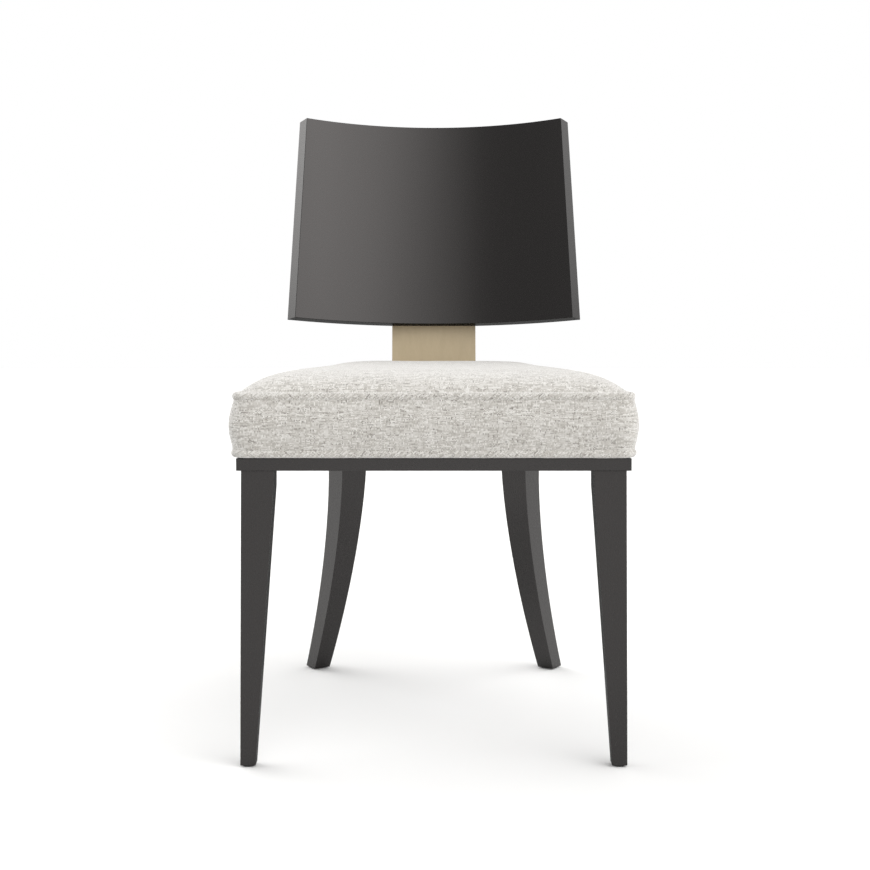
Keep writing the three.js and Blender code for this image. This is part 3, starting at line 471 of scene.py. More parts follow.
def felted(name, dark, light, scale, relief, roughness=0.95):
    """Soft matter without a weave: pressed fibres, or foam with its pores."""
    material, tree, surface = shader(name, {"Roughness": roughness, "Specular IOR Level": 0.15})
    place = add(tree, "TexCoord").outputs["Object"]
    matted = pattern(tree, place, scale, detail=5, roughness=0.7, distortion=1.5)
    tree.links.new(ramp(tree, matted, [(0.35, dark), (0.65, light)]), surface.inputs["Base Color"])
    pores = add(tree, "TexVoronoi", {"Vector": place, "Scale": scale * 2.5}).outputs[0]
    bump(tree, surface, calc(tree, "ADD", matted, pores), relief, 0.8)
    return material


def raw_wood(name, stretch):
    """Bare beech: pale, with short dark flecks along the grain."""
    material, tree, surface = shader(name, {"Specular IOR Level": 0.3})
    along = grain_vector(tree, stretch)
    rings = pattern(tree, along, BEECH_RINGS, detail=5, distortion=0.6)
    flecks = pattern(tree, along, BEECH_FLECKS, detail=1)
    base = ramp(tree, rings, [(0.3, BEECH_DARK), (0.7, BEECH_LIGHT)])
    fleck = calc(tree, "GREATER_THAN", flecks, FLECK_LIMIT)
    tree.links.new(blend(tree, fleck, base, BEECH_FLECK), surface.inputs["Base Color"])
    tree.links.new(remap(tree, rings, 0.55, 0.75), surface.inputs["Roughness"])
    bump(tree, surface, rings, 0.0002, 0.4)
    return material


def plated_steel():
    material, tree, surface = shader("zinc_steel", {"Metallic": 1.0})
    place = add(tree, "TexCoord").outputs["Object"]
    spangle = pattern(tree, place, ZINC_SPANGLE, detail=4)
    colour = ramp(tree, spangle, [(0.3, ZINC_DARK), (0.7, ZINC_LIGHT)])
    tree.links.new(colour, surface.inputs["Base Color"])
    tree.links.new(remap(tree, spangle, 0.25, 0.5), surface.inputs["Roughness"])
    return material


def moulded_nylon():
    material, tree, surface = shader("nylon_glide", {})
    place = add(tree, "TexCoord").outputs["Object"]
    texture = pattern(tree, place, NYLON_TEXTURE, detail=3)
    scuff = pattern(tree, place, NYLON_SCUFF, detail=5)
    colour = ramp(tree, scuff, [(0.35, NYLON_DARK), (0.75, NYLON_LIGHT)])
    tree.links.new(colour, surface.inputs["Base Color"])
    tree.links.new(remap(tree, scuff, 0.4, 0.7), surface.inputs["Roughness"])
    bump(tree, surface, texture, 0.0001, 0.5)
    return material


charcoal_up, charcoal_across, charcoal_deep = (
    lacquer("charcoal_lacquer_" + way, CHARCOAL_DARK, CHARCOAL_LIGHT, CHARCOAL_ROUGHNESS, stretch)
    for way, stretch in (("up", UP_GRAIN), ("across", ACROSS_GRAIN), ("deep", DEEP_GRAIN))
)
# The charcoal arris paints a thin dark line along the back panel's edges: painted shade for the edges' dark
# reflections, with some rubbed wear
charcoal_arris_wear_and_shade = arris_wear_and_shade("charcoal_arris_wear_and_shade", CHARCOAL_ARRIS_WEAR_AND_SHADE_DARK, CHARCOAL_ARRIS_WEAR_AND_SHADE_LIGHT, WORN_CHARCOAL_ROUGHNESS)
champagne = lacquer(
    "champagne_lacquer_up", CHAMPAGNE_DARK, CHAMPAGNE_LIGHT, CHAMPAGNE_ROUGHNESS, UP_GRAIN
)
champagne_arris = arris_wear_and_shade("champagne_arris", WORN_CHAMPAGNE_DARK, WORN_CHAMPAGNE_LIGHT, CHAMPAGNE_ROUGHNESS)
heather = weave("heather_weave", HEATHER_STOPS, HEATHER_SHEEN)
jute = strap_weave()
foam = felted("seat_foam_cells", FOAM_DARK, FOAM_LIGHT, FOAM_SCALE, FOAM_RELIEF)
pressed_cloth = felted("dust_cloth_felt", FELT_DARK, FELT_LIGHT, FELT_SCALE, FELT_RELIEF)
beech_across = raw_wood("beech_across", ACROSS_GRAIN)
beech_deep = raw_wood("beech_deep", DEEP_GRAIN)
steel = plated_steel()
nylon = moulded_nylon()


# CAD nodes keep their shape and get their finish, smooth shading and a fine arris


def shading_group():
    """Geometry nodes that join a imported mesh's split corners and shade it smooth up to a limit angle."""
    group = bpy.data.node_groups.new("smooth_shading", "GeometryNodeTree")
    for way in ("INPUT", "OUTPUT"):
        group.interface.new_socket("Mesh", in_out=way, socket_type="NodeSocketGeometry")
    start = group.nodes.new("NodeGroupInput")
    end = group.nodes.new("NodeGroupOutput")
    forget = group.nodes.new("GeometryNodeRemoveAttribute")
    forget.inputs["Name"].default_value = "custom_normal"
    join = group.nodes.new("GeometryNodeMergeByDistance")
    join.inputs["Distance"].default_value = 1e-5
    faces = group.nodes.new("GeometryNodeSetShadeSmooth")
    edges = group.nodes.new("GeometryNodeSetShadeSmooth")
    edges.domain = "EDGE"
    angle = group.nodes.new("GeometryNodeInputMeshEdgeAngle")
    slight = group.nodes.new("FunctionNodeCompare")
    slight.operation = "LESS_THAN"
    slight.inputs["B"].default_value = SMOOTH_ANGLE
    chain = [start, forget, join, faces, edges, end]
    for left, right in zip(chain, chain[1:]):
        group.links.new(left.outputs[0], right.inputs[0])
    group.links.new(angle.outputs["Unsigned Angle"], slight.inputs["A"])
    group.links.new(slight.outputs["Result"], edges.inputs["Shade Smooth"])
    return group


smooth_shading = shading_group()


def dress(name, finish, arris=None):
    """Gives a CAD node its finish and, where asked, a rounded arris with a finish of its own."""
    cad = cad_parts[name]
    cad.material_slots[0].link = "OBJECT"
    cad.material_slots[0].material = finish
    shading = cad.modifiers.new("shading", "NODES")
    shading.node_group = smooth_shading
    if arris is None:
        return
    cad.data.materials.append(arris)
    flat = cad.modifiers.new("flat_faces", "DECIMATE")
    flat.decimate_type = "DISSOLVE"
    flat.angle_limit = FLAT_ANGLE
    bevel = cad.modifiers.new("arris", "BEVEL")
    bevel.width = ARRIS_WIDTH
    bevel.segments = 2
    bevel.limit_method = "ANGLE"
    bevel.angle_limit = PLAIN_ANGLE
    bevel.harden_normals = True
    bevel.material = 1


def dress_frame():
    for leg in ("front_leg_left", "front_leg_right", "rear_leg_left", "rear_leg_right"):
        dress(leg, charcoal_up, charcoal_up)
    dress("base_rail_front", charcoal_across, charcoal_across)
    dress("base_rail_back", charcoal_across, charcoal_across)
    dress("base_rail_left", charcoal_deep, charcoal_deep)
    dress("base_rail_right", charcoal_deep, charcoal_deep)
    dress("back_panel", charcoal_up, charcoal_arris_wear_and_shade)
    dress("back_splat", champagne, champagne_arris)
    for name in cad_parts:
        if name.startswith(("seat_rail_front", "seat_rail_back", "corner_block")):
            dress(name, beech_across)
        elif name.startswith(("seat_rail", "panel_dowel")):
            dress(name, beech_deep)
        elif name.startswith(("hanger_bolt", "bolt_", "splat_bolt")):
            dress(name, steel)
        elif name.startswith("glide"):
            dress(name, nylon)


dress_frame()


# New pieces


def new_piece(name, points, faces, finish, cloth_map=None):
    """A smooth mesh that rides on the chair; cloth_map gives each face corner its place in the cloth."""
    mesh = bpy.data.meshes.new(name)
    mesh.from_pydata([tuple(p) for p in points], [], faces)
    if cloth_map is not None:
        layer = mesh.uv_layers.new(name="weave")
        layer.data.foreach_set("uv", np.array(cloth_map, np.float32).ravel())
    mesh.materials.append(finish)
    mesh.shade_smooth()
    piece = bpy.data.objects.new(name, mesh)
    bpy.context.scene.collection.objects.link(piece)
    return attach(piece, "root")


def baked(piece):
    """The piece's mesh becomes what its modifiers make of it."""
    graph = bpy.context.evaluated_depsgraph_get()
    made = bpy.data.meshes.new_from_object(piece.evaluated_get(graph), depsgraph=graph)
    piece.modifiers.clear()
    piece.data = made
    return piece


def places_of(mesh):
    found = np.empty(len(mesh.vertices) * 3, np.float32)
    mesh.vertices.foreach_get("co", found)
    return found.reshape(-1, 3).astype(float)


def cut_out(piece, planes, margin=0.012):
    """Opens a piece where it lies behind every plane; a plane is a point and a direction out of the hole."""
    cut = bmesh.new()
    cut.from_mesh(piece.data)

    def behind(face, limit):
        middle = face.calc_center_median()
        return all((middle - point).dot(out) < limit for point, out in planes)

    for point, out in planes:
        near = [f for f in cut.faces if behind(f, margin)]
        parts = near + list({e for f in near for e in f.edges}) + list({v for f in near for v in f.verts})
        bmesh.ops.bisect_plane(cut, geom=parts, dist=1e-6, plane_co=point, plane_no=out)
    bmesh.ops.delete(cut, geom=[f for f in cut.faces if behind(f, 0)], context="FACES")
    cut.to_mesh(piece.data)
    cut.free()


# Plan outline of the upholstery: columns of points with outward normals, anticlockwise from the
# middle of the front right corner


def plan_columns(per_side, radius=CORNER_RADIUS):
    front, back = SEAT_FRONT_Y + CORNER_RADIUS, SEAT_BACK_Y - CORNER_RADIUS
    across = CORNER_RADIUS / math.cos(SIDE_ANGLE)
    front_half, back_half = half_width(front) - across, half_width(back) - across
    centres = [
        Vector((-front_half, front)),
        Vector((front_half, front)),
        Vector((back_half, back)),
        Vector((-back_half, back)),
    ]
    turns = [-math.pi / 2, SIDE_ANGLE, math.pi / 2, math.pi - SIDE_ANGLE]
    bases, angles = [], []
    for k, centre in enumerate(centres):
        following = centres[(k + 1) % 4]
        before = turns[k - 1] - (math.tau if k == 0 else 0)
        after = turns[(k + 1) % 4] + (math.tau if k == 3 else 0)
        start, end = (before + turns[k]) / 2, (turns[k] + after) / 2
        first, last = radius * (turns[k] - start), radius * (end - turns[k])
        straight = (following - centre).length
        for i in range(per_side):
            at = (first + straight + last) * i / per_side
            if at < first:
                bases.append(centre)
                angles.append(start + at / radius)
            elif at < first + straight:
                bases.append(centre.lerp(following, (at - first) / straight))
                angles.append(turns[k])
            else:
                bases.append(following)
                angles.append(turns[k] + (at - first - straight) / radius)
    normals = np.stack([np.cos(angles), np.sin(angles)], axis=1)
    return np.array([tuple(b) for b in bases]), normals


def lengths_along(points):
    """Distance along a closed line to each of its points."""
    steps = np.linalg.norm(np.roll(points, -1, axis=0) - points, axis=1)
    return np.concatenate([[0], np.cumsum(steps)])


# Cushion cover


def boxing_overhang(height):
    """How far the side wall stands out: full between the welts, drawn in beside and behind them."""
    top = SEAM_HEIGHT - WELT_RADIUS
    share = min(1, max(0, (height - BOXING_BOTTOM) / (top - BOXING_BOTTOM)))
    line = FOOT_OVERHANG + (HEAD_OVERHANG - FOOT_OVERHANG) * share
    behind = max(0, height - top) / WELT_RADIUS
    return line + BOXING_BULGE * math.sin(math.pi * share) - (HEAD_OVERHANG - SEAM_OVERHANG) * behind


def patch_between(front, side, back, other):
    """Grid of points that fills the space between four lines of equal length."""
    count = len(front)
    u = np.linspace(0, 1, count)[:, None, None]
    v = np.linspace(0, 1, count)[None, :, None]
    between_ends = (1 - v) * front[:, None] + v * back[:, None]
    between_sides = (1 - u) * other[None] + u * side[None]
    corners = (
        (1 - u) * (1 - v) * front[0] + u * (1 - v) * front[-1] + (1 - u) * v * back[0] + u * v * back[-1]
    )
    return between_ends + between_sides - corners


def edge_distance(points, outline):
    """Distance from each point to the nearest point of an outline."""
    found = np.full(len(points), np.inf)
    for place in outline:
        found = np.minimum(found, np.hypot(points[:, 0] - place[0], points[:, 1] - place[1]))
    return found


def crown_height(points, from_seam):
    """A quick rise from every edge and a slight dip in the middle; a groove runs along the seam."""
    x, y = points[:, 0], points[:, 1]
    wide = half_width(y) + SEAM_OVERHANG
    from_side = np.maximum(0, wide - np.abs(x))
    from_front = np.maximum(0, y - SEAT_FRONT_Y + SEAM_OVERHANG)
    from_back = np.maximum(0, SEAT_BACK_Y + SEAM_OVERHANG - y)
    edges = np.ones(len(points))
    for distance in (from_side, from_front, from_back):
        edges *= 1 - np.exp(-distance / EDGE_RUN)
    middle, reach = (SEAT_FRONT_Y + SEAT_BACK_Y) / 2, SEAT_DEPTH / 2 + SEAM_OVERHANG
    inside = np.maximum(0, 1 - (x / wide) ** 2) * np.maximum(0, 1 - ((y - middle) / reach) ** 2)
    groove = 1 - np.exp(-from_seam / SEAM_GROOVE_RUN)
    return SEAM_HEIGHT + (EDGE_RISE * edges - MIDDLE_DIP * inside) * groove


def cover_mesh():
    """Side walls and crown of the cover as one skin, with each panel's own place in the cloth."""
    bases, normals = plan_columns(COLUMNS_PER_SIDE, CORNER_RADIUS + SEAM_OVERHANG)
    count, side = len(bases), COLUMNS_PER_SIDE
    points, faces, cloth = [], [], []
    foot = BOXING_BOTTOM - WELT_LAP
    rise = (SEAM_HEIGHT - foot) / BOXING_ROWS
    for row in range(BOXING_ROWS + 1):
        height = foot + rise * row
        plan = bases + normals * (CORNER_RADIUS + boxing_overhang(height))
        points += [(x, y, height) for x, y in plan]
    seam = bases + normals * (CORNER_RADIUS + SEAM_OVERHANG)
    along = lengths_along(seam)
    for row in range(BOXING_ROWS):
        for i in range(count):
            j = (i + 1) % count
            faces.append((row * count + i, row * count + j, (row + 1) * count + j, (row + 1) * count + i))
            low, high = row * rise, (row + 1) * rise
            cloth += [(along[i], low), (along[i + 1], low), (along[i + 1], high), (along[i], high)]

    closed = np.concatenate([seam, seam[:1]])
    front, right = closed[: side + 1], closed[side : 2 * side + 1]
    back, left = closed[2 * side : 3 * side + 1][::-1], closed[3 * side :][::-1]
    grid = patch_between(front, right, back, left).reshape(-1, 2)
    dense = np.concatenate([seam, (seam + np.roll(seam, -1, axis=0)) / 2])
    heights = crown_height(grid, edge_distance(grid, dense))
    index = np.full((side + 1, side + 1), -1)
    first = BOXING_ROWS * count
    for i in range(side):
        index[i, 0] = first + i
        index[side, i] = first + side + i
        index[side - i, side] = first + 2 * side + i
        index[0, side - i] = first + 3 * side + i
    for i in range(1, side):
        for j in range(1, side):
            index[i, j] = len(points)
            k = i * (side + 1) + j
            points.append((grid[k][0], grid[k][1], heights[k]))
    places = np.array(points)
    for i in range(side):
        for j in range(side):
            quad = (index[i, j], index[i + 1, j], index[i + 1, j + 1], index[i, j + 1])
            faces.append(tuple(int(q) for q in quad))
            cloth += [tuple(places[q][:2]) for q in quad]
    return points, faces, cloth


def swell(cover):
    """Lets air pressure fill the cover between its sewn lines, by cloth simulation with capped movement."""
    rest = places_of(cover.data)
    held = cover.vertex_groups.new(name="sewn")
    sewn = np.where((np.abs(rest[:, 2] - SEAM_HEIGHT) < 1e-6) | (rest[:, 2] < BOXING_BOTTOM))[0]
    held.add([int(i) for i in sewn], 1, "REPLACE")
    cloth = cover.modifiers.new("swell", "CLOTH")
    cloth.settings.vertex_group_mass = "sewn"
    cloth.settings.quality = 4
    cloth.settings.mass = 0.4
    cloth.settings.tension_stiffness = 40
    cloth.settings.compression_stiffness = 40
    cloth.settings.shear_stiffness = 20
    cloth.settings.bending_stiffness = 8
    cloth.settings.use_pressure = True
    cloth.settings.uniform_pressure_force = SWELL_PRESSURE
    cloth.settings.effector_weights.gravity = 0
    cloth.point_cache.frame_start, cloth.point_cache.frame_end = 1, SWELL_FRAMES
    scene = bpy.context.scene
    for step in range(1, SWELL_FRAMES + 1):
        scene.frame_set(step)
    graph = bpy.context.evaluated_depsgraph_get()
    moved = places_of(cover.evaluated_get(graph).data) - rest
    cover.modifiers.clear()
    cover.vertex_groups.clear()
    scene.frame_set(1)
    far = np.linalg.norm(moved, axis=1, keepdims=True)
    limited = moved * np.minimum(1, SWELL_CAP / np.maximum(far, 1e-9))
    cover.data.vertices.foreach_set("co", (rest + limited).astype(np.float32).ravel())
    cover.data.update()


def pucker(cover):
    """Small tucks in the cloth beside the seams, and a slight unevenness all over."""
    mesh = cover.data
    places = places_of(mesh)
    normals = np.empty(len(mesh.vertices) * 3, np.float32)
    mesh.vertices.foreach_get("normal", normals)
    normals = normals.reshape(-1, 3)
    by_seam = np.exp(-np.abs(places[:, 2] - SEAM_HEIGHT) / PUCKER_REACH)
    by_foot = np.exp(-np.abs(places[:, 2] - BOXING_BOTTOM) / PUCKER_REACH)
    share = (by_seam + by_foot * FOOT_PUCKER_SHARE) * PUCKER_DEPTH
    depth = np.empty(len(places))
    for i, place in enumerate(places):
        along = Vector((place[0], place[1], place[2] * PUCKER_UPRIGHT_SHARE)) / PUCKER_PITCH
        tuck = noise.noise(along) * share[i]
        slack = noise.noise(Vector(place) / SLACK_RUN) * SLACK_DEPTH
        depth[i] = tuck + slack
    sewn = np.abs(places[:, 2] - SEAM_HEIGHT) < SEWN_REACH
    depth[sewn] *= SEWN_SHARE
    places += normals * depth[:, None]
    mesh.vertices.foreach_set("co", places.astype(np.float32).ravel())
    mesh.update()


def slot_planes():
    """The slot that the splat passes through: its front plane leans with the splat."""
    front = Vector((0, SPLAT_FRONT_Y - SLOT_GAP, BASE_TOP))
    lean = Vector((0, -math.cos(RAKE), math.sin(RAKE)))
    side = SPLAT_HALF_WIDTH + SLOT_GAP
    return [
        (front, lean),
        (Vector((side, 0, 0)), Vector((1, 0, 0))),
        (Vector((-side, 0, 0)), Vector((-1, 0, 0))),
    ]


def seat_cover():
    points, faces, cloth = cover_mesh()
    cover = new_piece("seat_cushion_cover", points, faces, heather, cloth)
    swell(cover)
    finer = cover.modifiers.new("finer", "SUBSURF")
    finer.levels = finer.render_levels = 1
    finer.boundary_smooth = "PRESERVE_CORNERS"
    baked(cover)
    pucker(cover)
    cut_out(cover, slot_planes())
    skin = cover.modifiers.new("fabric", "SOLIDIFY")
    skin.thickness = FABRIC_THICKNESS
    skin.offset = -1
    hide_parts("seat_cover")


# Beads round the cushion


def bead(name, overhang, height):
    """Fabric covered bead round the seat, open where the splat passes."""
    bases, normals = plan_columns(BEAD_COLUMNS_PER_SIDE)
    plan = bases + normals * (CORNER_RADIUS + overhang)
    clear = SPLAT_HALF_WIDTH + SLOT_GAP
    behind_splat = (plan[:, 1] > SPLAT_FRONT_Y) & (np.abs(plan[:, 0]) < clear + BEAD_END_GAP)
    start = int(np.where(behind_splat)[0].max()) + 1
    order = [(start + i) % len(plan) for i in range(len(plan) - int(behind_splat.sum()))]
    back = plan[behind_splat][0][1]
    line = [(np.array((-clear, back)), np.array((0.0, 1.0)))]
    line += [(plan[i], normals[i]) for i in order]
    line += [(np.array((clear, back)), np.array((0.0, 1.0)))]
    points, faces, cloth = [], [], []
    sides = BEAD_SIDES
    along = 0
    runs = []
    for i, (place, normal) in enumerate(line):
        if i:
            along += np.linalg.norm(place - line[i - 1][0])
        runs.append(along)
        wobble = noise.noise(Vector((along / BEAD_WOBBLE_RUN, BEAD_WOBBLE_ROW, 0)))
        size = WELT_RADIUS + BEAD_WOBBLE * wobble
        for k in range(sides):
            angle = math.tau * k / sides
            out, up = size * math.cos(angle), size * math.sin(angle)
            points.append((place[0] + normal[0] * out, place[1] + normal[1] * out, height + up))
    facet = math.tau * WELT_RADIUS / sides
    for i in range(len(line) - 1):
        for k in range(sides):
            j = (k + 1) % sides
            faces.append((i * sides + j, i * sides + k, (i + 1) * sides + k, (i + 1) * sides + j))
            for step, turn in ((i, k + 1), (i, k), (i + 1, k), (i + 1, k + 1)):
                a, b = runs[step], turn * facet
                cloth.append(((a + b) * math.sqrt(0.5), (a - b) * math.sqrt(0.5)))
    last = (len(line) - 1) * sides
    faces.append(tuple(range(sides)))
    faces.append(tuple(range(last + sides - 1, last - 1, -1)))
    cloth += [(0.0, 0.0)] * (2 * sides)
    return new_piece(name, points, faces, heather, cloth)


def seat_beads():
    welt_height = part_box("seat_welt")[0].z + WELT_RADIUS
    welt = bead("seat_bottom_piping", BOTTOM_WELT_OVERHANG, welt_height)
    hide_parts("seat_welt")
    welt = bead("seat_top_piping", TOP_WELT_OVERHANG, SEAM_HEIGHT - TOP_WELT_DROP)
    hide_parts("seat_top_welt")


# Hidden padding


def softened(node, name, cell):
    """A foam piece in the space of its CAD solid, with rounded edges."""
    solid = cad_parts[node]
    piece = bpy.data.objects.new(name, solid.data.copy())
    piece.data.materials.clear()
    piece.data.materials.append(foam)
    bpy.context.scene.collection.objects.link(piece)
    remesh = piece.modifiers.new("cells", "REMESH")
    remesh.mode = "VOXEL"
    remesh.voxel_size = cell
    remesh.use_smooth_shade = True
    ease = piece.modifiers.new("ease", "SMOOTH")
    ease.factor = 0.5
    ease.iterations = 3
    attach(piece, "root")
    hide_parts(node)


def padding():
    softened("seat_foam", "seat_foam_block", BLOCK_CELL)
    for side in ("front", "left", "right", "back_left", "back_right"):
        softened("edge_pad_" + side, "edge_padding_" + side, PAD_CELL)


def strap(name, node, along, start, end, place, heights):
    """A webbing strap along X or Y, woven over and under the straps that it crosses."""
    points, faces, cloth = [], [], []
    knots = [start] + [h[0] for h in heights] + [end]
    lifts = [heights[0][1]] + [h[1] for h in heights] + [heights[-1][1]]
    half = WEB_WIDTH / 2
    for i in range(WEB_STEPS + 1):
        at = start + (end - start) * i / WEB_STEPS
        k = max(n for n in range(len(knots) - 1) if knots[n] <= at + 1e-9)
        share = (at - knots[k]) / max(knots[k + 1] - knots[k], 1e-9)
        eased = (1 - math.cos(math.pi * min(1, share))) / 2
        lift = lifts[k] + (lifts[k + 1] - lifts[k]) * eased
        for side in range(WEB_RIBS + 1):
            across = -half + WEB_WIDTH * side / WEB_RIBS
            plan = (place + across, at) if along == "Y" else (at, place + across)
            points.append((*plan, lift))
    for i in range(WEB_STEPS):
        for side in range(WEB_RIBS):
            a = i * (WEB_RIBS + 1) + side
            quad = (a, a + 1, a + WEB_RIBS + 2, a + WEB_RIBS + 1)
            faces.append(quad if along == "Y" else quad[::-1])
            corners = [(side, i), (side + 1, i), (side + 1, i + 1), (side, i + 1)]
            corners = corners if along == "Y" else corners[::-1]
            for s, n in corners:
                cloth.append((-half + WEB_WIDTH * s / WEB_RIBS, (end - start) * n / WEB_STEPS))
    made = new_piece(name, points, faces, jute, cloth)
    thick = made.modifiers.new("thick", "SOLIDIFY")
    thick.thickness = WEB_THICKNESS
    thick.offset = 0
    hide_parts(node)


def webbing():
    lengths = [f"webbing_length_{i}" for i in range(1, 5)]
    crosses = [f"webbing_cross_{i}" for i in range(1, 4)]
    middle = {n: (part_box(n)[0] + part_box(n)[1]) / 2 for n in lengths + crosses}
    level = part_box(crosses[0])[1].z - WEB_THICKNESS / 2 - WEB_WAVE - WEB_CLEARANCE
    over = {(i, k): 1 if (i + k) % 2 else -1 for i in range(4) for k in range(3)}
    for i, n in enumerate(lengths):
        low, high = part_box(n)
        heights = [(middle[c].y, level + WEB_WAVE * over[i, k]) for k, c in enumerate(crosses)]
        strap(f"webbing_strap_length_{i + 1}", n, "Y", low.y, high.y, middle[n].x, heights)
    for k, n in enumerate(crosses):
        low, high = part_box(n)
        heights = [(middle[c].x, level - WEB_WAVE * over[i, k]) for i, c in enumerate(lengths)]
        strap(f"webbing_strap_cross_{k + 1}", n, "X", low.x, high.x, middle[n].y, heights)


# Dust cloth under the base frame


def leg_squares():
    """Plan of each leg's top: a middle point, a direction and half its side."""
    squares = []
    for side in (1, -1):
        middle_x = SEAT_FRONT_WIDTH / 2 - FRONT_LEG_INSET - FRONT_LEG_HALF
        middle_y = SEAT_FRONT_Y + FRONT_LEG_INSET + FRONT_LEG_HALF
        squares.append((Vector((middle_x * side, middle_y)), 0.0, FRONT_LEG_HALF))
        reach = REAR_LEG_HALF * (math.sin(REAR_LEG_TURN) + math.cos(REAR_LEG_TURN))
        middle_y = SEAT_BACK_Y - REAR_LEG_BACK_INSET - reach
        outer_y = middle_y + REAR_LEG_HALF * (math.cos(REAR_LEG_TURN) - math.sin(REAR_LEG_TURN))
        middle_x = half_width(outer_y) - REAR_LEG_SIDE_INSET - reach
        squares.append((Vector((middle_x * side, middle_y)), -REAR_LEG_TURN * side, REAR_LEG_HALF))
    return squares


def dust_cloth():
    """Black cloth stapled under the frame, slack in the middle and cut out round the legs."""
    count = CLOTH_STEPS
    low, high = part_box("dust_cover")
    points, faces, cloth = [], [], []
    for i in range(count + 1):
        y = low.y + (high.y - low.y) * i / count
        wide = half_width(y) - CLOTH_INSET / math.cos(SIDE_ANGLE)
        for j in range(count + 1):
            share = 2 * j / count - 1
            x = wide * share
            slack = (1 - share**2) * (1 - (2 * i / count - 1) ** 2)
            place = Vector((x / CLOTH_RIPPLE_RUN, y / CLOTH_RIPPLE_RUN, 0))
            ripple = noise.noise(place) * CLOTH_RIPPLE * slack
            z = high.z - CLOTH_THICKNESS - CLOTH_CLEARANCE - CLOTH_SAG * slack + ripple
            points.append((x, y, z))
    for i in range(count):
        for j in range(count):
            a = i * (count + 1) + j
            quad = (a, a + count + 1, a + count + 2, a + 1)
            faces.append(quad)
            cloth += [points[q][:2] for q in quad]
    sheet = new_piece("dust_cloth", points, faces, pressed_cloth, cloth)
    for middle, turn, half in leg_squares():
        planes = []
        for quarter in range(4):
            angle = turn + quarter * math.pi / 2
            out = Vector((math.cos(angle), math.sin(angle), 0))
            planes.append((Vector((*middle, 0)) + out * (half + LEG_CLEARANCE), out))
        cut_out(sheet, planes)
    skin = sheet.modifiers.new("thickness", "SOLIDIFY")
    skin.thickness = CLOTH_THICKNESS
    skin.offset = 0
    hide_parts("dust_cover")
    staples(high.z - CLOTH_THICKNESS - STAPLE_DEPTH)


def staple(points, faces, place, turn):
    """One wire staple: a crown with two legs that enter the wood."""
    half, wire, drop = STAPLE_HALF, STAPLE_WIRE, STAPLE_DROP
    radius = wire / 2
    along = Vector((math.cos(turn), math.sin(turn), 0))
    across = Vector((-math.sin(turn), math.cos(turn), 0))
    up = Vector((0, 0, 1))
    line = [
        place + along * -half + up * drop,
        place + along * -half,
        place + along * (wire - half) - up * radius,
        place + along * (half - wire) - up * radius,
        place + along * half,
        place + along * half + up * drop,
    ]
    first = len(points)
    for i, p in enumerate(line):
        inward = along * (radius if i < 3 else -radius)
        for a, b in ((-1, -1), (1, -1), (1, 1), (-1, 1)):
            lift = up * radius * b if 1 < i < 4 else inward * b
            points.append(p + across * radius * a + lift)
    for i in range(len(line) - 1):
        for k in range(4):
            a, b = first + i * 4 + k, first + i * 4 + (k + 1) % 4
            faces.append((a, b, b + 4, a + 4))
    last = first + (len(line) - 1) * 4
    faces.append((first + 3, first + 2, first + 1, first))
    faces.append((last, last + 1, last + 2, last + 3))


def staples(level):
    """Staples round the cloth's edge, but none where a leg stands."""
    points, faces = [], []
    inset = CLOTH_INSET + STAPLE_INSET
    front, back = SEAT_FRONT_Y + inset, SEAT_BACK_Y - inset
    corners = [
        Vector((-half_width(front) + inset, front, level)),
        Vector((half_width(front) - inset, front, level)),
        Vector((half_width(back) - inset, back, level)),
        Vector((-half_width(back) + inset, back, level)),
    ]
    squares = leg_squares()
    for k, corner in enumerate(corners):
        following = corners[(k + 1) % 4]
        run = following - corner
        turn = math.atan2(run.y, run.x)
        count = int(run.length / STAPLE_PITCH)
        for i in range(count):
            place = corner.lerp(following, (i + 0.5) / count)
            away = [(place.xy - middle).length - half * LEG_REACH for middle, _, half in squares]
            if min(away) > STAPLE_INSET:
                tilt = noise.noise(place * STAPLE_TILT_PACE) * STAPLE_TILT
                staple(points, faces, place, turn + tilt)
    new_piece("dust_cloth_staples", points, faces, steel)


# Studio


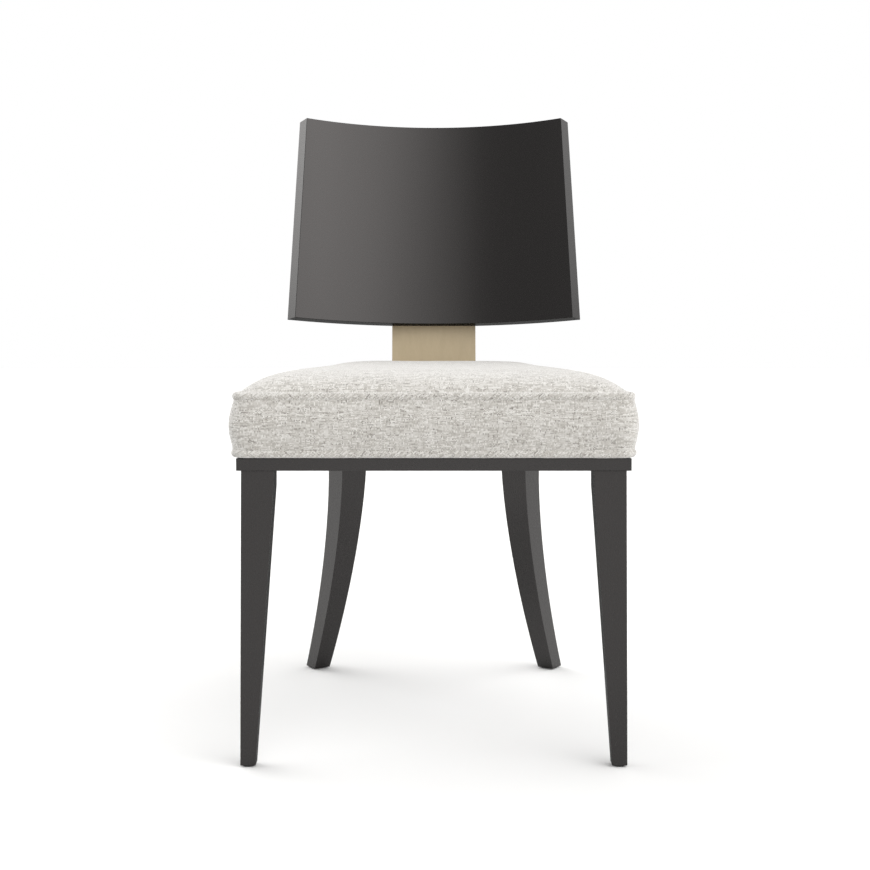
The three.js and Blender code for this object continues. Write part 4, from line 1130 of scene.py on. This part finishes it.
def floor():
    """Pale floor; it looks whiter than it lights the chair, as in a cut-out product picture."""
    mesh = bpy.data.meshes.new("studio_floor")
    corners = [(x * FLOOR_REACH, y * FLOOR_REACH, 0) for x, y in ((-1, -1), (1, -1), (1, 1), (-1, 1))]
    mesh.from_pydata(corners, [], [(0, 1, 2, 3)])
    material, tree, surface = shader("studio_floor", {"Roughness": 1.0, "Specular IOR Level": 0.0})
    seen = add(tree, "LightPath").outputs["Is Camera Ray"]
    tree.links.new(blend(tree, seen, FLOOR_GREY, FLOOR_WHITE), surface.inputs["Base Color"])
    mesh.materials.append(material)
    made = bpy.data.objects.new("studio_floor", mesh)
    bpy.context.scene.collection.objects.link(made)


def direction_at(azimuth, elevation):
    """Azimuth 0 points from the chair to the camera, and 90 to the right of the picture."""
    a, e = math.radians(azimuth), math.radians(elevation)
    return (math.sin(a) * math.cos(e), -math.cos(a) * math.cos(e), math.sin(e))


def studio_light():
    world = bpy.data.worlds.new("studio")
    bpy.context.scene.world = world
    world.use_nodes = True
    tree = world.node_tree
    tree.nodes.clear()
    direction = add(tree, "TexCoord").outputs["Generated"]
    total = 0
    for azimuth, elevation, inner, outer, radiance in GLOWS:
        towards = direction_at(azimuth, elevation)
        facing = add(tree, "VectorMath", {0: direction, 1: towards}, operation="DOT_PRODUCT").outputs["Value"]
        limits = {
            "Value": facing,
            "From Min": math.cos(math.radians(outer)),
            "From Max": math.cos(math.radians(inner)),
            "To Min": 0.0,
            "To Max": radiance,
        }
        glow = add(tree, "MapRange", limits, interpolation_type="SMOOTHSTEP").outputs[0]
        total = calc(tree, "ADD", glow, total)
    light = add(tree, "Background", {"Color": (1, 0.995, 0.985, 1), "Strength": total}).outputs[0]
    white = add(tree, "Background", {"Color": (1, 1, 1, 1), "Strength": 1.0}).outputs[0]
    seen = add(tree, "LightPath").outputs["Is Camera Ray"]
    both = add(tree, "MixShader", {0: seen, 1: light, 2: white}).outputs[0]
    output = add(tree, "OutputWorld")
    tree.links.new(both, output.inputs["Surface"])
    view = bpy.context.scene.view_settings
    view.view_transform = "Standard"
    view.look = "None"


def camera():
    data = bpy.data.cameras.new("camera")
    data.sensor_width = CAMERA_SENSOR
    data.lens = CAMERA_LENS
    data.shift_x, data.shift_y = CAMERA_SHIFT
    made = bpy.data.objects.new("camera", data)
    made.location = CAMERA_PLACE
    made.rotation_euler = (CAMERA_TILT, 0, 0)
    bpy.context.scene.collection.objects.link(made)
    bpy.context.scene.camera = made


seat_cover()
seat_beads()
padding()
webbing()
dust_cloth()
floor()
studio_light()
camera()
